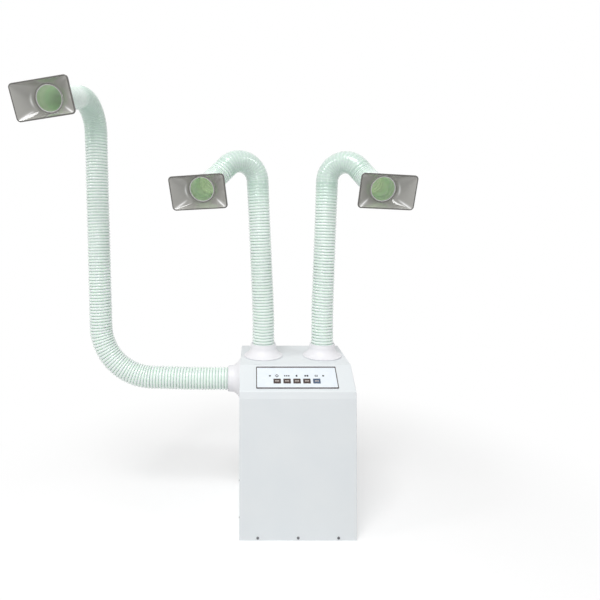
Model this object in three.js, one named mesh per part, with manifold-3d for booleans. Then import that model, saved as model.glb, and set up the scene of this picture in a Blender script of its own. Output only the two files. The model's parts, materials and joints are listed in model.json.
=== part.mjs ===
// Fume extraction cabinet with three self-supporting hose arms, each ending in a square-mouthed hood.
// Millimetres, +Z up. The origin is the centre of the base on the floor, and the front faces -Y.
import * as THREE from 'three';
import { mergeVertices } from 'three/addons/utils/BufferGeometryUtils.js';
import Module from 'manifold-3d';

const wasm = await Module();
wasm.setup();

// Cabinet
const CABINET_WIDTH = 356;
const CABINET_DEPTH = 330;
const CABINET_HEIGHT = 504;
const SLOPE_RISE = 60;
const SLOPE_SETBACK = 89;
const SHEET = 1.5;
const CLEARANCE = 0.3;
const TRAY_RIM = 30;

// Screws
const SCREW_RADIUS = 2;
const SCREW_LENGTH = 9;
const SCREW_HEAD_RADIUS = 4.2;
const SCREW_HEAD_HEIGHT = 2.6;
const SCREW_CROWN_RADIUS = 2.9;
const FRONT_SCREW_SPACING = 122;
const FRONT_SCREW_HEIGHT = 8;
const SIDE_SCREW_SETBACK = 50;
const SIDE_SCREW_HEIGHTS = [155, 40];
const REAR_SCREW_SPACING = 240;
const REAR_SCREW_HEIGHT = 15;

// Control face, measured up the slope from its lower edge
const FASCIA_WIDTH = 254;
const FASCIA_HEIGHT = 84;
const FASCIA_THICKNESS = 1.2;
const FASCIA_CORNER = 3;
const FASCIA_CENTRE = 56.2;
const KEY_COUNT = 5;
const KEY_SPACING = 30.75;
const KEY_WIDTH = 22.5;
const KEY_HEIGHT = 17.5;
const KEY_ROW = 42.4;
const KEY_PROUD = 0.9;
const KEY_TRAVEL = 0.6;
const KEY_SKIRT = 1.5;
const KEY_SKIRT_THICKNESS = 1.2;
const LENS_ROW = 62.2;
const LENS_SPACING = 166.8;
const LENS_RADIUS = 3.2;
const LENS_PROUD = 0.6;
const LENS_CROWN_RADIUS = 1.5;
const BOARD_WIDTH = 180;
const BOARD_HEIGHT = 56;
const BOARD_THICKNESS = 1.6;
const BOARD_POST_RADIUS = 3;
const BOARD_POST_INSET = 6;

// Filters and fan
const DECK_HEIGHT = 200;
const FILTER_SIDE_GAP = 24;
const FILTER_FRONT_GAP = 36;
const GASKET_WIDTH = 20;
const GASKET_THICKNESS = 8;
const CARBON_THICKNESS = 40;
const HEPA_THICKNESS = 70;
const HEPA_WALL = 12;
const PLEAT_COUNT = 20;
const PLEAT_WALL = 5;
const PREFILTER_THICKNESS = 20;
const FAN_RADIUS = 100;
const FAN_HEIGHT = 55;
const FAN_PLATE = 2.5;
const BLADE_COUNT = 7;
const BLADE_THICKNESS = 2.5;
const BLADE_INSET = 1;
const BLADE_SWEEP = 0.7;
const INLET_RADIUS = 61;
const INLET_WALL = 2;
const INLET_FLANGE = 21;
const INLET_FLARE = 14;
const EYE_GAP = 3;
const EYE_OVERLAP = 5;
const MOTOR_RADIUS = 55;
const MOTOR_HEIGHT = 80;
const MOTOR_FOOT_RADIUS = 70;
const MOTOR_FOOT_THICKNESS = 5;
const SHAFT_RADIUS = 6;
const SHAFT_IN_MOTOR = 42;
const SHOULDER_RADIUS = 9;
const SHOULDER_HEIGHT = 4;
const HUB_RADIUS = 16;
const HUB_HEIGHT = 30;

// Rear panel
const LOUVRE_COUNT = 10;
const LOUVRE_HEIGHT = 3.5;
const LOUVRE_WIDTH = 210;
const LOUVRE_PITCH = 13;
const LOUVRE_CENTRE_X = -35;
const LOUVRE_FIRST_Z = 45;
const INLET_SOCKET_X = 120;
const INLET_SOCKET_Z = 70;
const SOCKET_WIDTH = 28;
const SOCKET_HEIGHT = 20;
const SOCKET_DEPTH = 24;
const SOCKET_WALL = 2.5;
const SOCKET_RIM = 8;
const SOCKET_RIM_THICKNESS = 3;
const SOCKET_CAVITY_DEPTH = 18;
const PIN_LENGTH = 10;
const PIN_WIDTH = 2;
const PIN_HEIGHT = 4;
const PIN_SPACING = 7;
const PIN_ROOT = 1;

// Hose and its fittings
const HOSE_BORE_RADIUS = 31.75;
const HOSE_ROOT_RADIUS = 34.8;
const HOSE_CREST_RADIUS = 37.8;
const RIB_PITCH = 20;
const HOSE_SIDES = 8;
const RIBS_PER_BORE_RING = 5;
const FLANGE_RADIUS = 66;
const FLANGE_EDGE = 4;
const FLANGE_HEIGHT = 40;
const BELL_TOP = 30;
const COLLAR_WALL = 3;
const FLANGE_LEDGE = 12;
const SPIGOT_RADIUS = 37;
const SPIGOT_LENGTH = 14;
const LOCK_RING_RADIUS = 48;
const LOCK_RING_THICKNESS = 8;
const CUFF_WALL = 1.9;
const CUFF_LIP = 2.3;
const CUFF_LIP_THICKNESS = 3;
const CUFF_STOP = 2;
const END_CUFF_LENGTH = 26;
const END_CUFF_WALL = 2.7;
const END_CUFF_LIP = 3;

// Hoods
const HOOD_WIDTH = 174;
const HOOD_HEIGHT = 106;
const HOOD_DEPTH = 40;
const HOOD_WALL = 2;
const HOOD_RIM = 2;
const HOOD_RIM_THICKNESS = 3;
const HOOD_CORNER = 10;
const CORNER_STEPS = 6;

// Arm routes: the seat is where the flange's axis meets the sheet, and the points are measured from it
const TOP_FLANGE_INSET = 77;
const TOP_FLANGE_Y = 30;
const SIDE_FLANGE_Y = 25;
const SIDE_FLANGE_DROP = 76;
const LEAD_BEND_RADIUS = 2000;
const topFlangeX = CABINET_WIDTH / 2 - TOP_FLANGE_INSET;
const ARMS = [
  {
    name: 'side',
    seat: [-CABINET_WIDTH / 2, SIDE_FLANGE_Y, CABINET_HEIGHT - SIDE_FLANGE_DROP],
    axis: [-1, 0, 0],
    lead: [-150, 0, 0],
    corners: [{ at: [-474, 0, 9], radius: 180 }, { at: [-502, 0, 966], radius: 96 }],
    tip: [-530, -304, 880],
    hoodRoll: 0.124,
  },
  {
    name: 'left',
    seat: [-topFlangeX, TOP_FLANGE_Y, CABINET_HEIGHT],
    axis: [0, 0, 1],
    lead: [0, 0, 150],
    corners: [{ at: [-26, -5, 747], radius: 67 }, { at: [-167, -80, 594], radius: 80 }],
    tip: [-191, -191, 558],
    hoodRoll: 0.044,
  },
  {
    name: 'right',
    seat: [topFlangeX, TOP_FLANGE_Y, CABINET_HEIGHT],
    axis: [0, 0, 1],
    lead: [0, 0, 150],
    corners: [{ at: [23, -5, 762], radius: 63 }, { at: [143, -80, 594], radius: 80 }],
    tip: [156, -201, 558],
    hoodRoll: -0.043,
  },
];

const ROUND_SIDES = 24;
const SHAFT_SIDES = 16;
const SCREW_SIDES = 10;
const POST_SIDES = 8;
const CURVE_STEPS = 4;
const CUT_MARGIN = 5;

// Sizes that follow from the driving dimensions
const frontY = -CABINET_DEPTH / 2;
const rearY = CABINET_DEPTH / 2;
const halfWidth = CABINET_WIDTH / 2;
const innerHalfWidth = halfWidth - SHEET;
const frontHeight = CABINET_HEIGHT - SLOPE_RISE;
const slopeTilt = Math.atan2(SLOPE_RISE, SLOPE_SETBACK);
const trayHalfWidth = innerHalfWidth - CLEARANCE;
const trayHalfDepth = CABINET_DEPTH / 2 - SHEET - CLEARANCE;
const deckHalfWidth = trayHalfWidth - SHEET - CLEARANCE;
const deckHalfDepth = trayHalfDepth - SHEET - CLEARANCE;
const filterHalfWidth = deckHalfWidth - FILTER_SIDE_GAP;
const filterHalfDepth = deckHalfDepth - FILTER_FRONT_GAP;
const trayFloor = SHEET + CLEARANCE;
const screwHole = SCREW_RADIUS + CLEARANCE;
const throatOuter = INLET_RADIUS + INLET_WALL;
const socketRadius = HOSE_CREST_RADIUS + CLEARANCE;
const swivelRadius = socketRadius + CUFF_WALL;
const collarBore = swivelRadius + CLEARANCE;
const hoseSeat = CLEARANCE + FLANGE_LEDGE + CLEARANCE + CUFF_STOP + CLEARANCE;
const endCuffRadius = socketRadius + END_CUFF_WALL;
const neckBore = endCuffRadius + CLEARANCE;
const cuffFace = CLEARANCE + CUFF_STOP;

const group = new THREE.Group();

const painted = { color: 0xe2e6e8, roughness: 0.45, metalness: 0.1 };
const zinc = { color: 0xb9bcbf, roughness: 0.4, metalness: 0.8 };
const darkSteel = { color: 0x4a4a4c, roughness: 0.4, metalness: 0.8 };
const whitePlastic = { color: 0xf0eef5, roughness: 0.35, metalness: 0 };
const mintHose = { color: 0xc8e1d4, roughness: 0.35, metalness: 0 };
const smokePlastic = { color: 0xa5a39e, roughness: 0.15, metalness: 0 };
const labelFilm = { color: 0xf0f6fc, roughness: 0.5, metalness: 0 };
const brownKey = { color: 0x695855, roughness: 0.5, metalness: 0 };
const blueKey = { color: 0x73829b, roughness: 0.5, metalness: 0 };
const darkLens = { color: 0x2c2a2a, roughness: 0.2, metalness: 0 };
const boardGreen = { color: 0x2d6b48, roughness: 0.6, metalness: 0 };
const foam = { color: 0x55585a, roughness: 0.9, metalness: 0 };
const carbon = { color: 0x26282a, roughness: 0.9, metalness: 0 };
const filterCard = { color: 0xd9d4c4, roughness: 0.8, metalness: 0 };
const filterMedia = { color: 0xf4f3ee, roughness: 0.9, metalness: 0 };
const blackPlastic = { color: 0x1e1e20, roughness: 0.5, metalness: 0 };

function addPiece(name, geometry, look, parent = group) {
  const mesh = new THREE.Mesh(geometry, new THREE.MeshStandardMaterial(look));
  mesh.name = name;
  parent.add(mesh);
  return mesh;
}

// Joining and cutting
function solidOf(geometry) {
  const bare = geometry.clone();
  bare.deleteAttribute('normal');
  bare.deleteAttribute('uv');
  const merged = mergeVertices(bare);
  const triangles = [];
  for (let i = 0; i < merged.index.count; i += 3) {
    const [a, b, c] = merged.index.array.slice(i, i + 3);
    if (a !== b && b !== c && c !== a) {
      triangles.push(a, b, c);
    }
  }
  return new wasm.Manifold(new wasm.Mesh({
    numProp: 3,
    vertProperties: Float32Array.from(merged.attributes.position.array),
    triVerts: Uint32Array.from(triangles),
  }));
}

function geometryOf(solid) {
  const mesh = solid.getMesh();
  const geometry = new THREE.BufferGeometry();
  geometry.setAttribute('position', new THREE.BufferAttribute(mesh.vertProperties, 3));
  geometry.setIndex(new THREE.BufferAttribute(mesh.triVerts, 1));
  geometry.computeVertexNormals();
  return geometry;
}

function joined(geometries) {
  const [first, ...rest] = geometries.map(solidOf);
  return geometryOf(rest.reduce((whole, solid) => whole.add(solid), first));
}

function cutBy(geometry, cutters) {
  return geometryOf(cutters.reduce((whole, cutter) => whole.subtract(solidOf(cutter)), solidOf(geometry)));
}

// Simple shapes
function boxBetween(low, high) {
  const size = high.map((value, i) => value - low[i]);
  const geometry = new THREE.BoxGeometry(...size);
  geometry.translate(...low.map((value, i) => value + size[i] / 2));
  return geometry;
}

// A profile of [radius, height] points turned round the Z axis, anticlockwise in the radius-height plane
function turned(profile, sides = ROUND_SIDES) {
  const geometry = new THREE.LatheGeometry(profile.map(([r, z]) => new THREE.Vector2(r, z)), sides);
  geometry.rotateX(Math.PI / 2);
  return geometry;
}

// Corner radius of a faceted bore whose flats keep the given radius clear
function clearRadius(radius, sides = ROUND_SIDES) {
  return radius / Math.cos(Math.PI / sides);
}

function disc(radius, low, high, sides = ROUND_SIDES) {
  return turned([[0, low], [radius, low], [radius, high], [0, high]], sides);
}

function outline(points) {
  return new THREE.Shape(points.map(([x, y]) => new THREE.Vector2(x, y)));
}

function extruded(shape, depth) {
  return new THREE.ExtrudeGeometry(shape, { depth, bevelEnabled: false, curveSegments: CURVE_STEPS });
}

// A shape drawn in the YZ plane and extruded along X from -half to +half
function acrossX(shape, half) {
  const geometry = extruded(shape, 2 * half);
  geometry.translate(0, 0, -half);
  const turn = new THREE.Matrix4().makeBasis(
    new THREE.Vector3(0, 1, 0),
    new THREE.Vector3(0, 0, 1),
    new THREE.Vector3(1, 0, 0),
  );
  return geometry.applyMatrix4(turn);
}

// A shape drawn in the XZ plane and extruded along Y from -half to +half
function acrossY(shape, half) {
  const geometry = extruded(shape, 2 * half);
  geometry.translate(0, 0, -half);
  geometry.rotateX(Math.PI / 2);
  return geometry;
}

function rectangle(width, height, x = 0, y = 0) {
  const points = [[-1, -1], [1, -1], [1, 1], [-1, 1]];
  return points.map(([i, j]) => [x + i * width / 2, y + j * height / 2]);
}

// Places a geometry made along +Z at a point, pointing along an axis
function aimed(geometry, point, axis) {
  const turn = new THREE.Quaternion().setFromUnitVectors(new THREE.Vector3(0, 0, 1), axis);
  return geometry.applyQuaternion(turn).translate(point.x, point.y, point.z);
}

// Closed body through a loop of rings with equal point counts, each anticlockwise round its axis
function ringLoop(rings) {
  const sides = rings[0].length;
  const index = [];
  rings.forEach((ring, i) => {
    const here = i * sides;
    const next = ((i + 1) % rings.length) * sides;
    for (let side = 0; side < sides; side += 1) {
      const other = (side + 1) % sides;
      index.push(here + side, here + other, next + other);
      index.push(here + side, next + other, next + side);
    }
  });
  const geometry = new THREE.BufferGeometry().setFromPoints(rings.flat());
  geometry.setIndex(index);
  geometry.computeVertexNormals();
  return geometry;
}

// Hose centreline: straight stretches joined by arcs, with a frame carried along without twist
class HoseRoute {
  constructor(points, radii) {
    this.stretches = [];
    this.arcs = [];
    this.length = 0;
    let start = points[0].clone();
    let heading = points[1].clone().sub(points[0]).normalize();
    const upright = Math.abs(heading.z) > Math.SQRT1_2;
    let side = upright ? new THREE.Vector3(1, 0, 0) : new THREE.Vector3(0, 0, 1);
    for (let i = 1; i < points.length; i += 1) {
      const last = i === points.length - 1;
      const ahead = last ? heading : points[i + 1].clone().sub(points[i]).normalize();
      const turn = heading.angleTo(ahead);
      const radius = radii[i - 1] ?? 0;
      const trim = last ? 0 : radius * Math.tan(turn / 2);
      const end = points[i].clone().addScaledVector(heading, -trim);
      this.push({ start, heading, side, length: start.distanceTo(end) });
      if (!last) {
        const axis = heading.clone().cross(ahead).normalize();
        const centre = end.clone().addScaledVector(axis.clone().cross(heading), radius);
        this.arcs.push({ from: this.length, to: this.length + radius * turn });
        this.push({ start: end, heading, side, length: radius * turn, axis, centre, radius });
        start = points[i].clone().addScaledVector(ahead, trim);
        side = side.clone().applyAxisAngle(axis, turn);
        heading = ahead;
      }
    }
  }

  push(stretch) {
    this.stretches.push({ ...stretch, from: this.length });
    this.length += stretch.length;
  }

  at(distance) {
    const stretch = this.stretches.findLast((each) => each.from <= distance) ?? this.stretches[0];
    const along = distance - stretch.from;
    if (!stretch.axis) {
      const point = stretch.start.clone().addScaledVector(stretch.heading, along);
      return { point, heading: stretch.heading.clone(), side: stretch.side.clone() };
    }
    const angle = along / stretch.radius;
    const spoke = stretch.start.clone().sub(stretch.centre).applyAxisAngle(stretch.axis, angle);
    return {
      point: spoke.add(stretch.centre),
      heading: stretch.heading.clone().applyAxisAngle(stretch.axis, angle),
      side: stretch.side.clone().applyAxisAngle(stretch.axis, angle),
    };
  }

  ring(distance, radius) {
    const { point, heading, side } = this.at(distance);
    const across = heading.clone().cross(side);
    return Array.from({ length: HOSE_SIDES }, (_, i) => {
      const angle = (2 * Math.PI * i) / HOSE_SIDES;
      return point.clone()
        .addScaledVector(side, radius * Math.cos(angle))
        .addScaledVector(across, radius * Math.sin(angle));
    });
  }
}

// One length of ribbed hose with its bore
function hoseLength(route, from, to, ribsPerBoreRing) {
  const ribs = Math.max(1, Math.round((to - from) / RIB_PITCH));
  const pitch = (to - from) / ribs;
  const rings = [route.ring(from, HOSE_ROOT_RADIUS)];
  for (let rib = 0; rib < ribs; rib += 1) {
    rings.push(route.ring(from + (rib + 0.5) * pitch, HOSE_CREST_RADIUS));
    rings.push(route.ring(from + (rib + 1) * pitch, HOSE_ROOT_RADIUS));
  }
  rings.push(route.ring(to, HOSE_BORE_RADIUS));
  for (let rib = ribs - 1; rib > 0; rib -= 1) {
    if (rib % ribsPerBoreRing === 0) {
      rings.push(route.ring(from + rib * pitch, HOSE_BORE_RADIUS));
    }
  }
  rings.push(route.ring(from, HOSE_BORE_RADIUS));
  return ringLoop(rings);
}

// Cabinet shell: front, slope, top and sides in one bent sheet, open below and behind
function shellProfile(inset) {
  const inwardY = Math.sin(slopeTilt);
  const inwardZ = -Math.cos(slopeTilt);
  const lowY = frontY + inset;
  const topZ = CABINET_HEIGHT - inset;
  const bendZ = frontHeight + inset * (1 - inwardY) / inwardZ;
  const bendY = frontY + (inset - (topZ - frontHeight) * inwardZ) / inwardY;
  const beyond = inset > 0 ? CUT_MARGIN : 0;
  const lowZ = CLEARANCE - beyond;
  return outline([
    [lowY, lowZ],
    [rearY + beyond, lowZ],
    [rearY + beyond, topZ],
    [bendY, topZ],
    [lowY, bendZ],
  ]);
}

function armAxis(arm) {
  return new THREE.Vector3(...arm.axis);
}

function armSeat(arm) {
  return new THREE.Vector3(...arm.seat);
}

const slopeFace = new THREE.Group();
slopeFace.position.set(0, frontY, frontHeight);
slopeFace.rotation.x = slopeTilt;
slopeFace.updateMatrix();
group.add(slopeFace);

const keyRowWidth = (KEY_COUNT - 1) * KEY_SPACING + KEY_WIDTH;
const frontScrewPlaces = [-1, 0, 1].map((i) => (
  new THREE.Vector3(i * FRONT_SCREW_SPACING, frontY, FRONT_SCREW_HEIGHT)
));
const sideScrewPlaces = SIDE_SCREW_HEIGHTS.map((z) => (
  new THREE.Vector3(-halfWidth, frontY + SIDE_SCREW_SETBACK, z)
));
const rearScrewPlaces = [-0.5, 0.5].map((i) => (
  new THREE.Vector3(i * REAR_SCREW_SPACING, rearY, REAR_SCREW_HEIGHT)
));
const towardsFront = new THREE.Vector3(0, -1, 0);
const towardsLeft = new THREE.Vector3(-1, 0, 0);
const towardsRear = new THREE.Vector3(0, 1, 0);

function screwHoles(places, axis) {
  const hole = clearRadius(screwHole, SCREW_SIDES);
  return places.map((place) => aimed(disc(hole, -SCREW_LENGTH, CUT_MARGIN, SCREW_SIDES), place, axis));
}

function addShell() {
  const spigotHole = clearRadius(SPIGOT_RADIUS + CLEARANCE);
  const flangeHoles = ARMS.map((arm) => (
    aimed(disc(spigotHole, -CUT_MARGIN, CUT_MARGIN), armSeat(arm), armAxis(arm))
  ));
  const keyWindow = boxBetween(
    [-keyRowWidth / 2 - 2 * KEY_SKIRT, KEY_ROW - KEY_HEIGHT / 2 - 2 * KEY_SKIRT, -CUT_MARGIN],
    [keyRowWidth / 2 + 2 * KEY_SKIRT, KEY_ROW + KEY_HEIGHT / 2 + 2 * KEY_SKIRT, CUT_MARGIN],
  ).applyMatrix4(slopeFace.matrix);
  const sheet = cutBy(acrossX(shellProfile(0), halfWidth), [acrossX(shellProfile(SHEET), innerHalfWidth)]);
  const holes = [
    ...flangeHoles,
    keyWindow,
    ...screwHoles(frontScrewPlaces, towardsFront),
    ...screwHoles(sideScrewPlaces, towardsLeft),
  ];
  addPiece('cabinet_shell', cutBy(sheet, holes), painted);
}

function addBaseTray() {
  const block = boxBetween([-trayHalfWidth, -trayHalfDepth, 0], [trayHalfWidth, trayHalfDepth, TRAY_RIM]);
  const hollow = boxBetween(
    [-trayHalfWidth + SHEET, -trayHalfDepth + SHEET, SHEET],
    [trayHalfWidth - SHEET, trayHalfDepth - SHEET, TRAY_RIM + CUT_MARGIN],
  );
  const holes = [
    ...screwHoles(frontScrewPlaces, towardsFront),
    ...screwHoles(rearScrewPlaces, towardsRear),
  ];
  addPiece('base_tray', cutBy(block, [hollow, ...holes]), zinc);
}

function addRearPanel() {
  const sheet = boxBetween(
    [-trayHalfWidth, rearY - SHEET, CLEARANCE],
    [trayHalfWidth, rearY, CABINET_HEIGHT - SHEET - CLEARANCE],
  );
  const louvres = Array.from({ length: LOUVRE_COUNT }, (_, i) => {
    const z = LOUVRE_FIRST_Z + i * LOUVRE_PITCH;
    return boxBetween(
      [LOUVRE_CENTRE_X - LOUVRE_WIDTH / 2, rearY - CUT_MARGIN, z - LOUVRE_HEIGHT / 2],
      [LOUVRE_CENTRE_X + LOUVRE_WIDTH / 2, rearY + CUT_MARGIN, z + LOUVRE_HEIGHT / 2],
    );
  });
  const socketHole = boxBetween(
    [INLET_SOCKET_X - SOCKET_WIDTH / 2 - CLEARANCE, rearY - CUT_MARGIN,
      INLET_SOCKET_Z - SOCKET_HEIGHT / 2 - CLEARANCE],
    [INLET_SOCKET_X + SOCKET_WIDTH / 2 + CLEARANCE, rearY + CUT_MARGIN,
      INLET_SOCKET_Z + SOCKET_HEIGHT / 2 + CLEARANCE],
  );
  const holes = [...louvres, socketHole, ...screwHoles(rearScrewPlaces, towardsRear)];
  addPiece('rear_panel', cutBy(sheet, holes), painted);
}

function addScrews(name, places, axis, look) {
  places.forEach((place, i) => {
    const screw = turned([
      [0, CLEARANCE - SCREW_LENGTH],
      [SCREW_RADIUS, CLEARANCE - SCREW_LENGTH],
      [SCREW_RADIUS, CLEARANCE],
      [SCREW_HEAD_RADIUS, CLEARANCE],
      [SCREW_HEAD_RADIUS, CLEARANCE + SCREW_HEAD_HEIGHT / 2],
      [SCREW_CROWN_RADIUS, CLEARANCE + SCREW_HEAD_HEIGHT],
      [0, CLEARANCE + SCREW_HEAD_HEIGHT],
    ], SCREW_SIDES);
    addPiece(`${name}_${i + 1}`, aimed(screw, place, axis), look);
  });
}

function addPowerInlet() {
  const y0 = rearY + CLEARANCE;
  const face = y0 + SOCKET_RIM_THICKNESS;
  const around = (margin, low, high) => boxBetween(
    [INLET_SOCKET_X - SOCKET_WIDTH / 2 - margin, low, INLET_SOCKET_Z - SOCKET_HEIGHT / 2 - margin],
    [INLET_SOCKET_X + SOCKET_WIDTH / 2 + margin, high, INLET_SOCKET_Z + SOCKET_HEIGHT / 2 + margin],
  );
  const body = joined([around(SOCKET_RIM, y0, face), around(0, face - SOCKET_DEPTH, face)]);
  const floor = face - SOCKET_CAVITY_DEPTH;
  const hollow = cutBy(body, [around(-SOCKET_WALL, floor, face + CUT_MARGIN)]);
  const pins = [-1, 0, 1].map((i) => {
    const x = INLET_SOCKET_X + i * PIN_SPACING;
    const z = INLET_SOCKET_Z + (i === 0 ? 1 : -1) * PIN_HEIGHT / 2;
    return boxBetween(
      [x - PIN_WIDTH / 2, floor - PIN_ROOT, z - PIN_HEIGHT / 2],
      [x + PIN_WIDTH / 2, floor + PIN_LENGTH, z + PIN_HEIGHT / 2],
    );
  });
  addPiece('power_inlet', joined([hollow, ...pins]), blackPlastic);
}

// Control face, drawn in the slope's own plane: X across, Y up the slope, Z out of it
function addControls() {
  const keyCentres = Array.from({ length: KEY_COUNT }, (_, i) => (i - (KEY_COUNT - 1) / 2) * KEY_SPACING);
  const lensCentres = [-LENS_SPACING / 2, LENS_SPACING / 2];
  const fasciaTop = CLEARANCE + FASCIA_THICKNESS;

  const plate = new THREE.Shape();
  const right = FASCIA_WIDTH / 2 - FASCIA_CORNER;
  const top = FASCIA_CENTRE + FASCIA_HEIGHT / 2 - FASCIA_CORNER;
  const bottom = FASCIA_CENTRE - FASCIA_HEIGHT / 2 + FASCIA_CORNER;
  plate.absarc(right, top, FASCIA_CORNER, 0, Math.PI / 2);
  plate.absarc(-right, top, FASCIA_CORNER, Math.PI / 2, Math.PI);
  plate.absarc(-right, bottom, FASCIA_CORNER, Math.PI, Math.PI * 1.5);
  plate.absarc(right, bottom, FASCIA_CORNER, Math.PI * 1.5, Math.PI * 2);
  const windows = keyCentres.map((x) => boxBetween(
    [x - KEY_WIDTH / 2 - CLEARANCE, KEY_ROW - KEY_HEIGHT / 2 - CLEARANCE, -CUT_MARGIN],
    [x + KEY_WIDTH / 2 + CLEARANCE, KEY_ROW + KEY_HEIGHT / 2 + CLEARANCE, CUT_MARGIN],
  ));
  const lensHole = clearRadius(LENS_RADIUS + CLEARANCE, SCREW_SIDES);
  const lensHoles = lensCentres.map((x) => (
    disc(lensHole, -CUT_MARGIN, CUT_MARGIN, SCREW_SIDES).translate(x, LENS_ROW, 0)
  ));
  const blank = extruded(plate, FASCIA_THICKNESS).translate(0, 0, CLEARANCE);
  const fascia = cutBy(blank, [...windows, ...lensHoles]);
  addPiece('control_fascia', fascia, labelFilm, slopeFace);

  const skirtTop = 0;
  const skirtLow = skirtTop - KEY_SKIRT_THICKNESS;
  keyCentres.forEach((x, i) => {
    const cap = boxBetween(
      [x - KEY_WIDTH / 2, KEY_ROW - KEY_HEIGHT / 2, skirtLow],
      [x + KEY_WIDTH / 2, KEY_ROW + KEY_HEIGHT / 2, fasciaTop + KEY_PROUD],
    );
    const skirt = boxBetween(
      [x - KEY_WIDTH / 2 - KEY_SKIRT, KEY_ROW - KEY_HEIGHT / 2 - KEY_SKIRT, skirtLow],
      [x + KEY_WIDTH / 2 + KEY_SKIRT, KEY_ROW + KEY_HEIGHT / 2 + KEY_SKIRT, skirtTop],
    );
    const look = i === KEY_COUNT - 1 ? blueKey : brownKey;
    addPiece(`key_${i + 1}`, joined([cap, skirt]), look, slopeFace);
  });

  ['status_lens', 'fault_lens'].forEach((name, i) => {
    const lens = turned([
      [0, CLEARANCE],
      [LENS_RADIUS, CLEARANCE],
      [LENS_RADIUS, fasciaTop],
      [LENS_CROWN_RADIUS, fasciaTop + LENS_PROUD],
      [0, fasciaTop + LENS_PROUD],
    ], SCREW_SIDES);
    addPiece(name, lens.translate(lensCentres[i], LENS_ROW, 0), darkLens, slopeFace);
  });

  const domeTop = skirtLow - KEY_TRAVEL - CLEARANCE;
  const boardTop = domeTop - CLEARANCE - SHEET;
  const boardLow = boardTop - BOARD_THICKNESS;
  const board = boxBetween(
    [-BOARD_WIDTH / 2, KEY_ROW - BOARD_HEIGHT / 2, boardLow],
    [BOARD_WIDTH / 2, KEY_ROW + BOARD_HEIGHT / 2, boardTop],
  );
  const domes = keyCentres.map((x) => (
    disc(BOARD_POST_RADIUS, boardLow, domeTop, POST_SIDES).translate(x, KEY_ROW, 0)
  ));
  const posts = rectangle(BOARD_WIDTH - 2 * BOARD_POST_INSET, BOARD_HEIGHT - 2 * BOARD_POST_INSET, 0, KEY_ROW)
    .map(([x, y]) => disc(BOARD_POST_RADIUS, boardLow, -SHEET - CLEARANCE, POST_SIDES).translate(x, y, 0));
  addPiece('control_board', joined([board, ...domes, ...posts]), boardGreen, slopeFace);
}

// Filter deck on the tray, with the filters stacked on it
function addFilters() {
  const deck = acrossY(outline([
    [-deckHalfWidth, trayFloor],
    [-deckHalfWidth + SHEET, trayFloor],
    [-deckHalfWidth + SHEET, DECK_HEIGHT - SHEET],
    [deckHalfWidth - SHEET, DECK_HEIGHT - SHEET],
    [deckHalfWidth - SHEET, trayFloor],
    [deckHalfWidth, trayFloor],
    [deckHalfWidth, DECK_HEIGHT],
    [-deckHalfWidth, DECK_HEIGHT],
  ]), deckHalfDepth);
  const holeRadius = clearRadius(throatOuter + INLET_WALL);
  const ringHole = disc(holeRadius, DECK_HEIGHT - CUT_MARGIN, DECK_HEIGHT + CUT_MARGIN);
  addPiece('filter_deck', cutBy(deck, [ringHole, ...screwHoles(sideScrewPlaces, towardsLeft)]), zinc);

  let level = DECK_HEIGHT;
  const slab = (thickness, inset = 0) => {
    const low = level + CLEARANCE;
    return boxBetween(
      [-filterHalfWidth + inset, -filterHalfDepth + inset, low],
      [filterHalfWidth - inset, filterHalfDepth - inset, low + thickness],
    );
  };
  const frame = (thickness, wall) => cutBy(slab(thickness), [
    slab(thickness + 2 * CUT_MARGIN, wall).translate(0, 0, -CUT_MARGIN),
  ]);

  addPiece('filter_gasket', frame(GASKET_THICKNESS, GASKET_WIDTH), foam);
  level += CLEARANCE + GASKET_THICKNESS;
  addPiece('carbon_filter', slab(CARBON_THICKNESS), carbon);
  level += CLEARANCE + CARBON_THICKNESS;
  addPiece('hepa_frame', frame(HEPA_THICKNESS, HEPA_WALL), filterCard);

  const mediaHalfWidth = filterHalfWidth - HEPA_WALL - CLEARANCE;
  const mediaLow = level + CLEARANCE;
  const pleatRise = HEPA_THICKNESS - PLEAT_WALL - CLEARANCE;
  const fold = Array.from({ length: 2 * PLEAT_COUNT + 1 }, (_, i) => [
    -mediaHalfWidth + (i * mediaHalfWidth) / PLEAT_COUNT,
    mediaLow + (i % 2) * pleatRise,
  ]);
  const upper = fold.map(([x, z]) => [x, z + PLEAT_WALL]).reverse();
  const media = acrossY(outline([...fold, ...upper]), filterHalfDepth - HEPA_WALL - CLEARANCE);
  addPiece('hepa_media', media, filterMedia);
  level += CLEARANCE + HEPA_THICKNESS;
  addPiece('prefilter', slab(PREFILTER_THICKNESS), foam);
}

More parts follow.
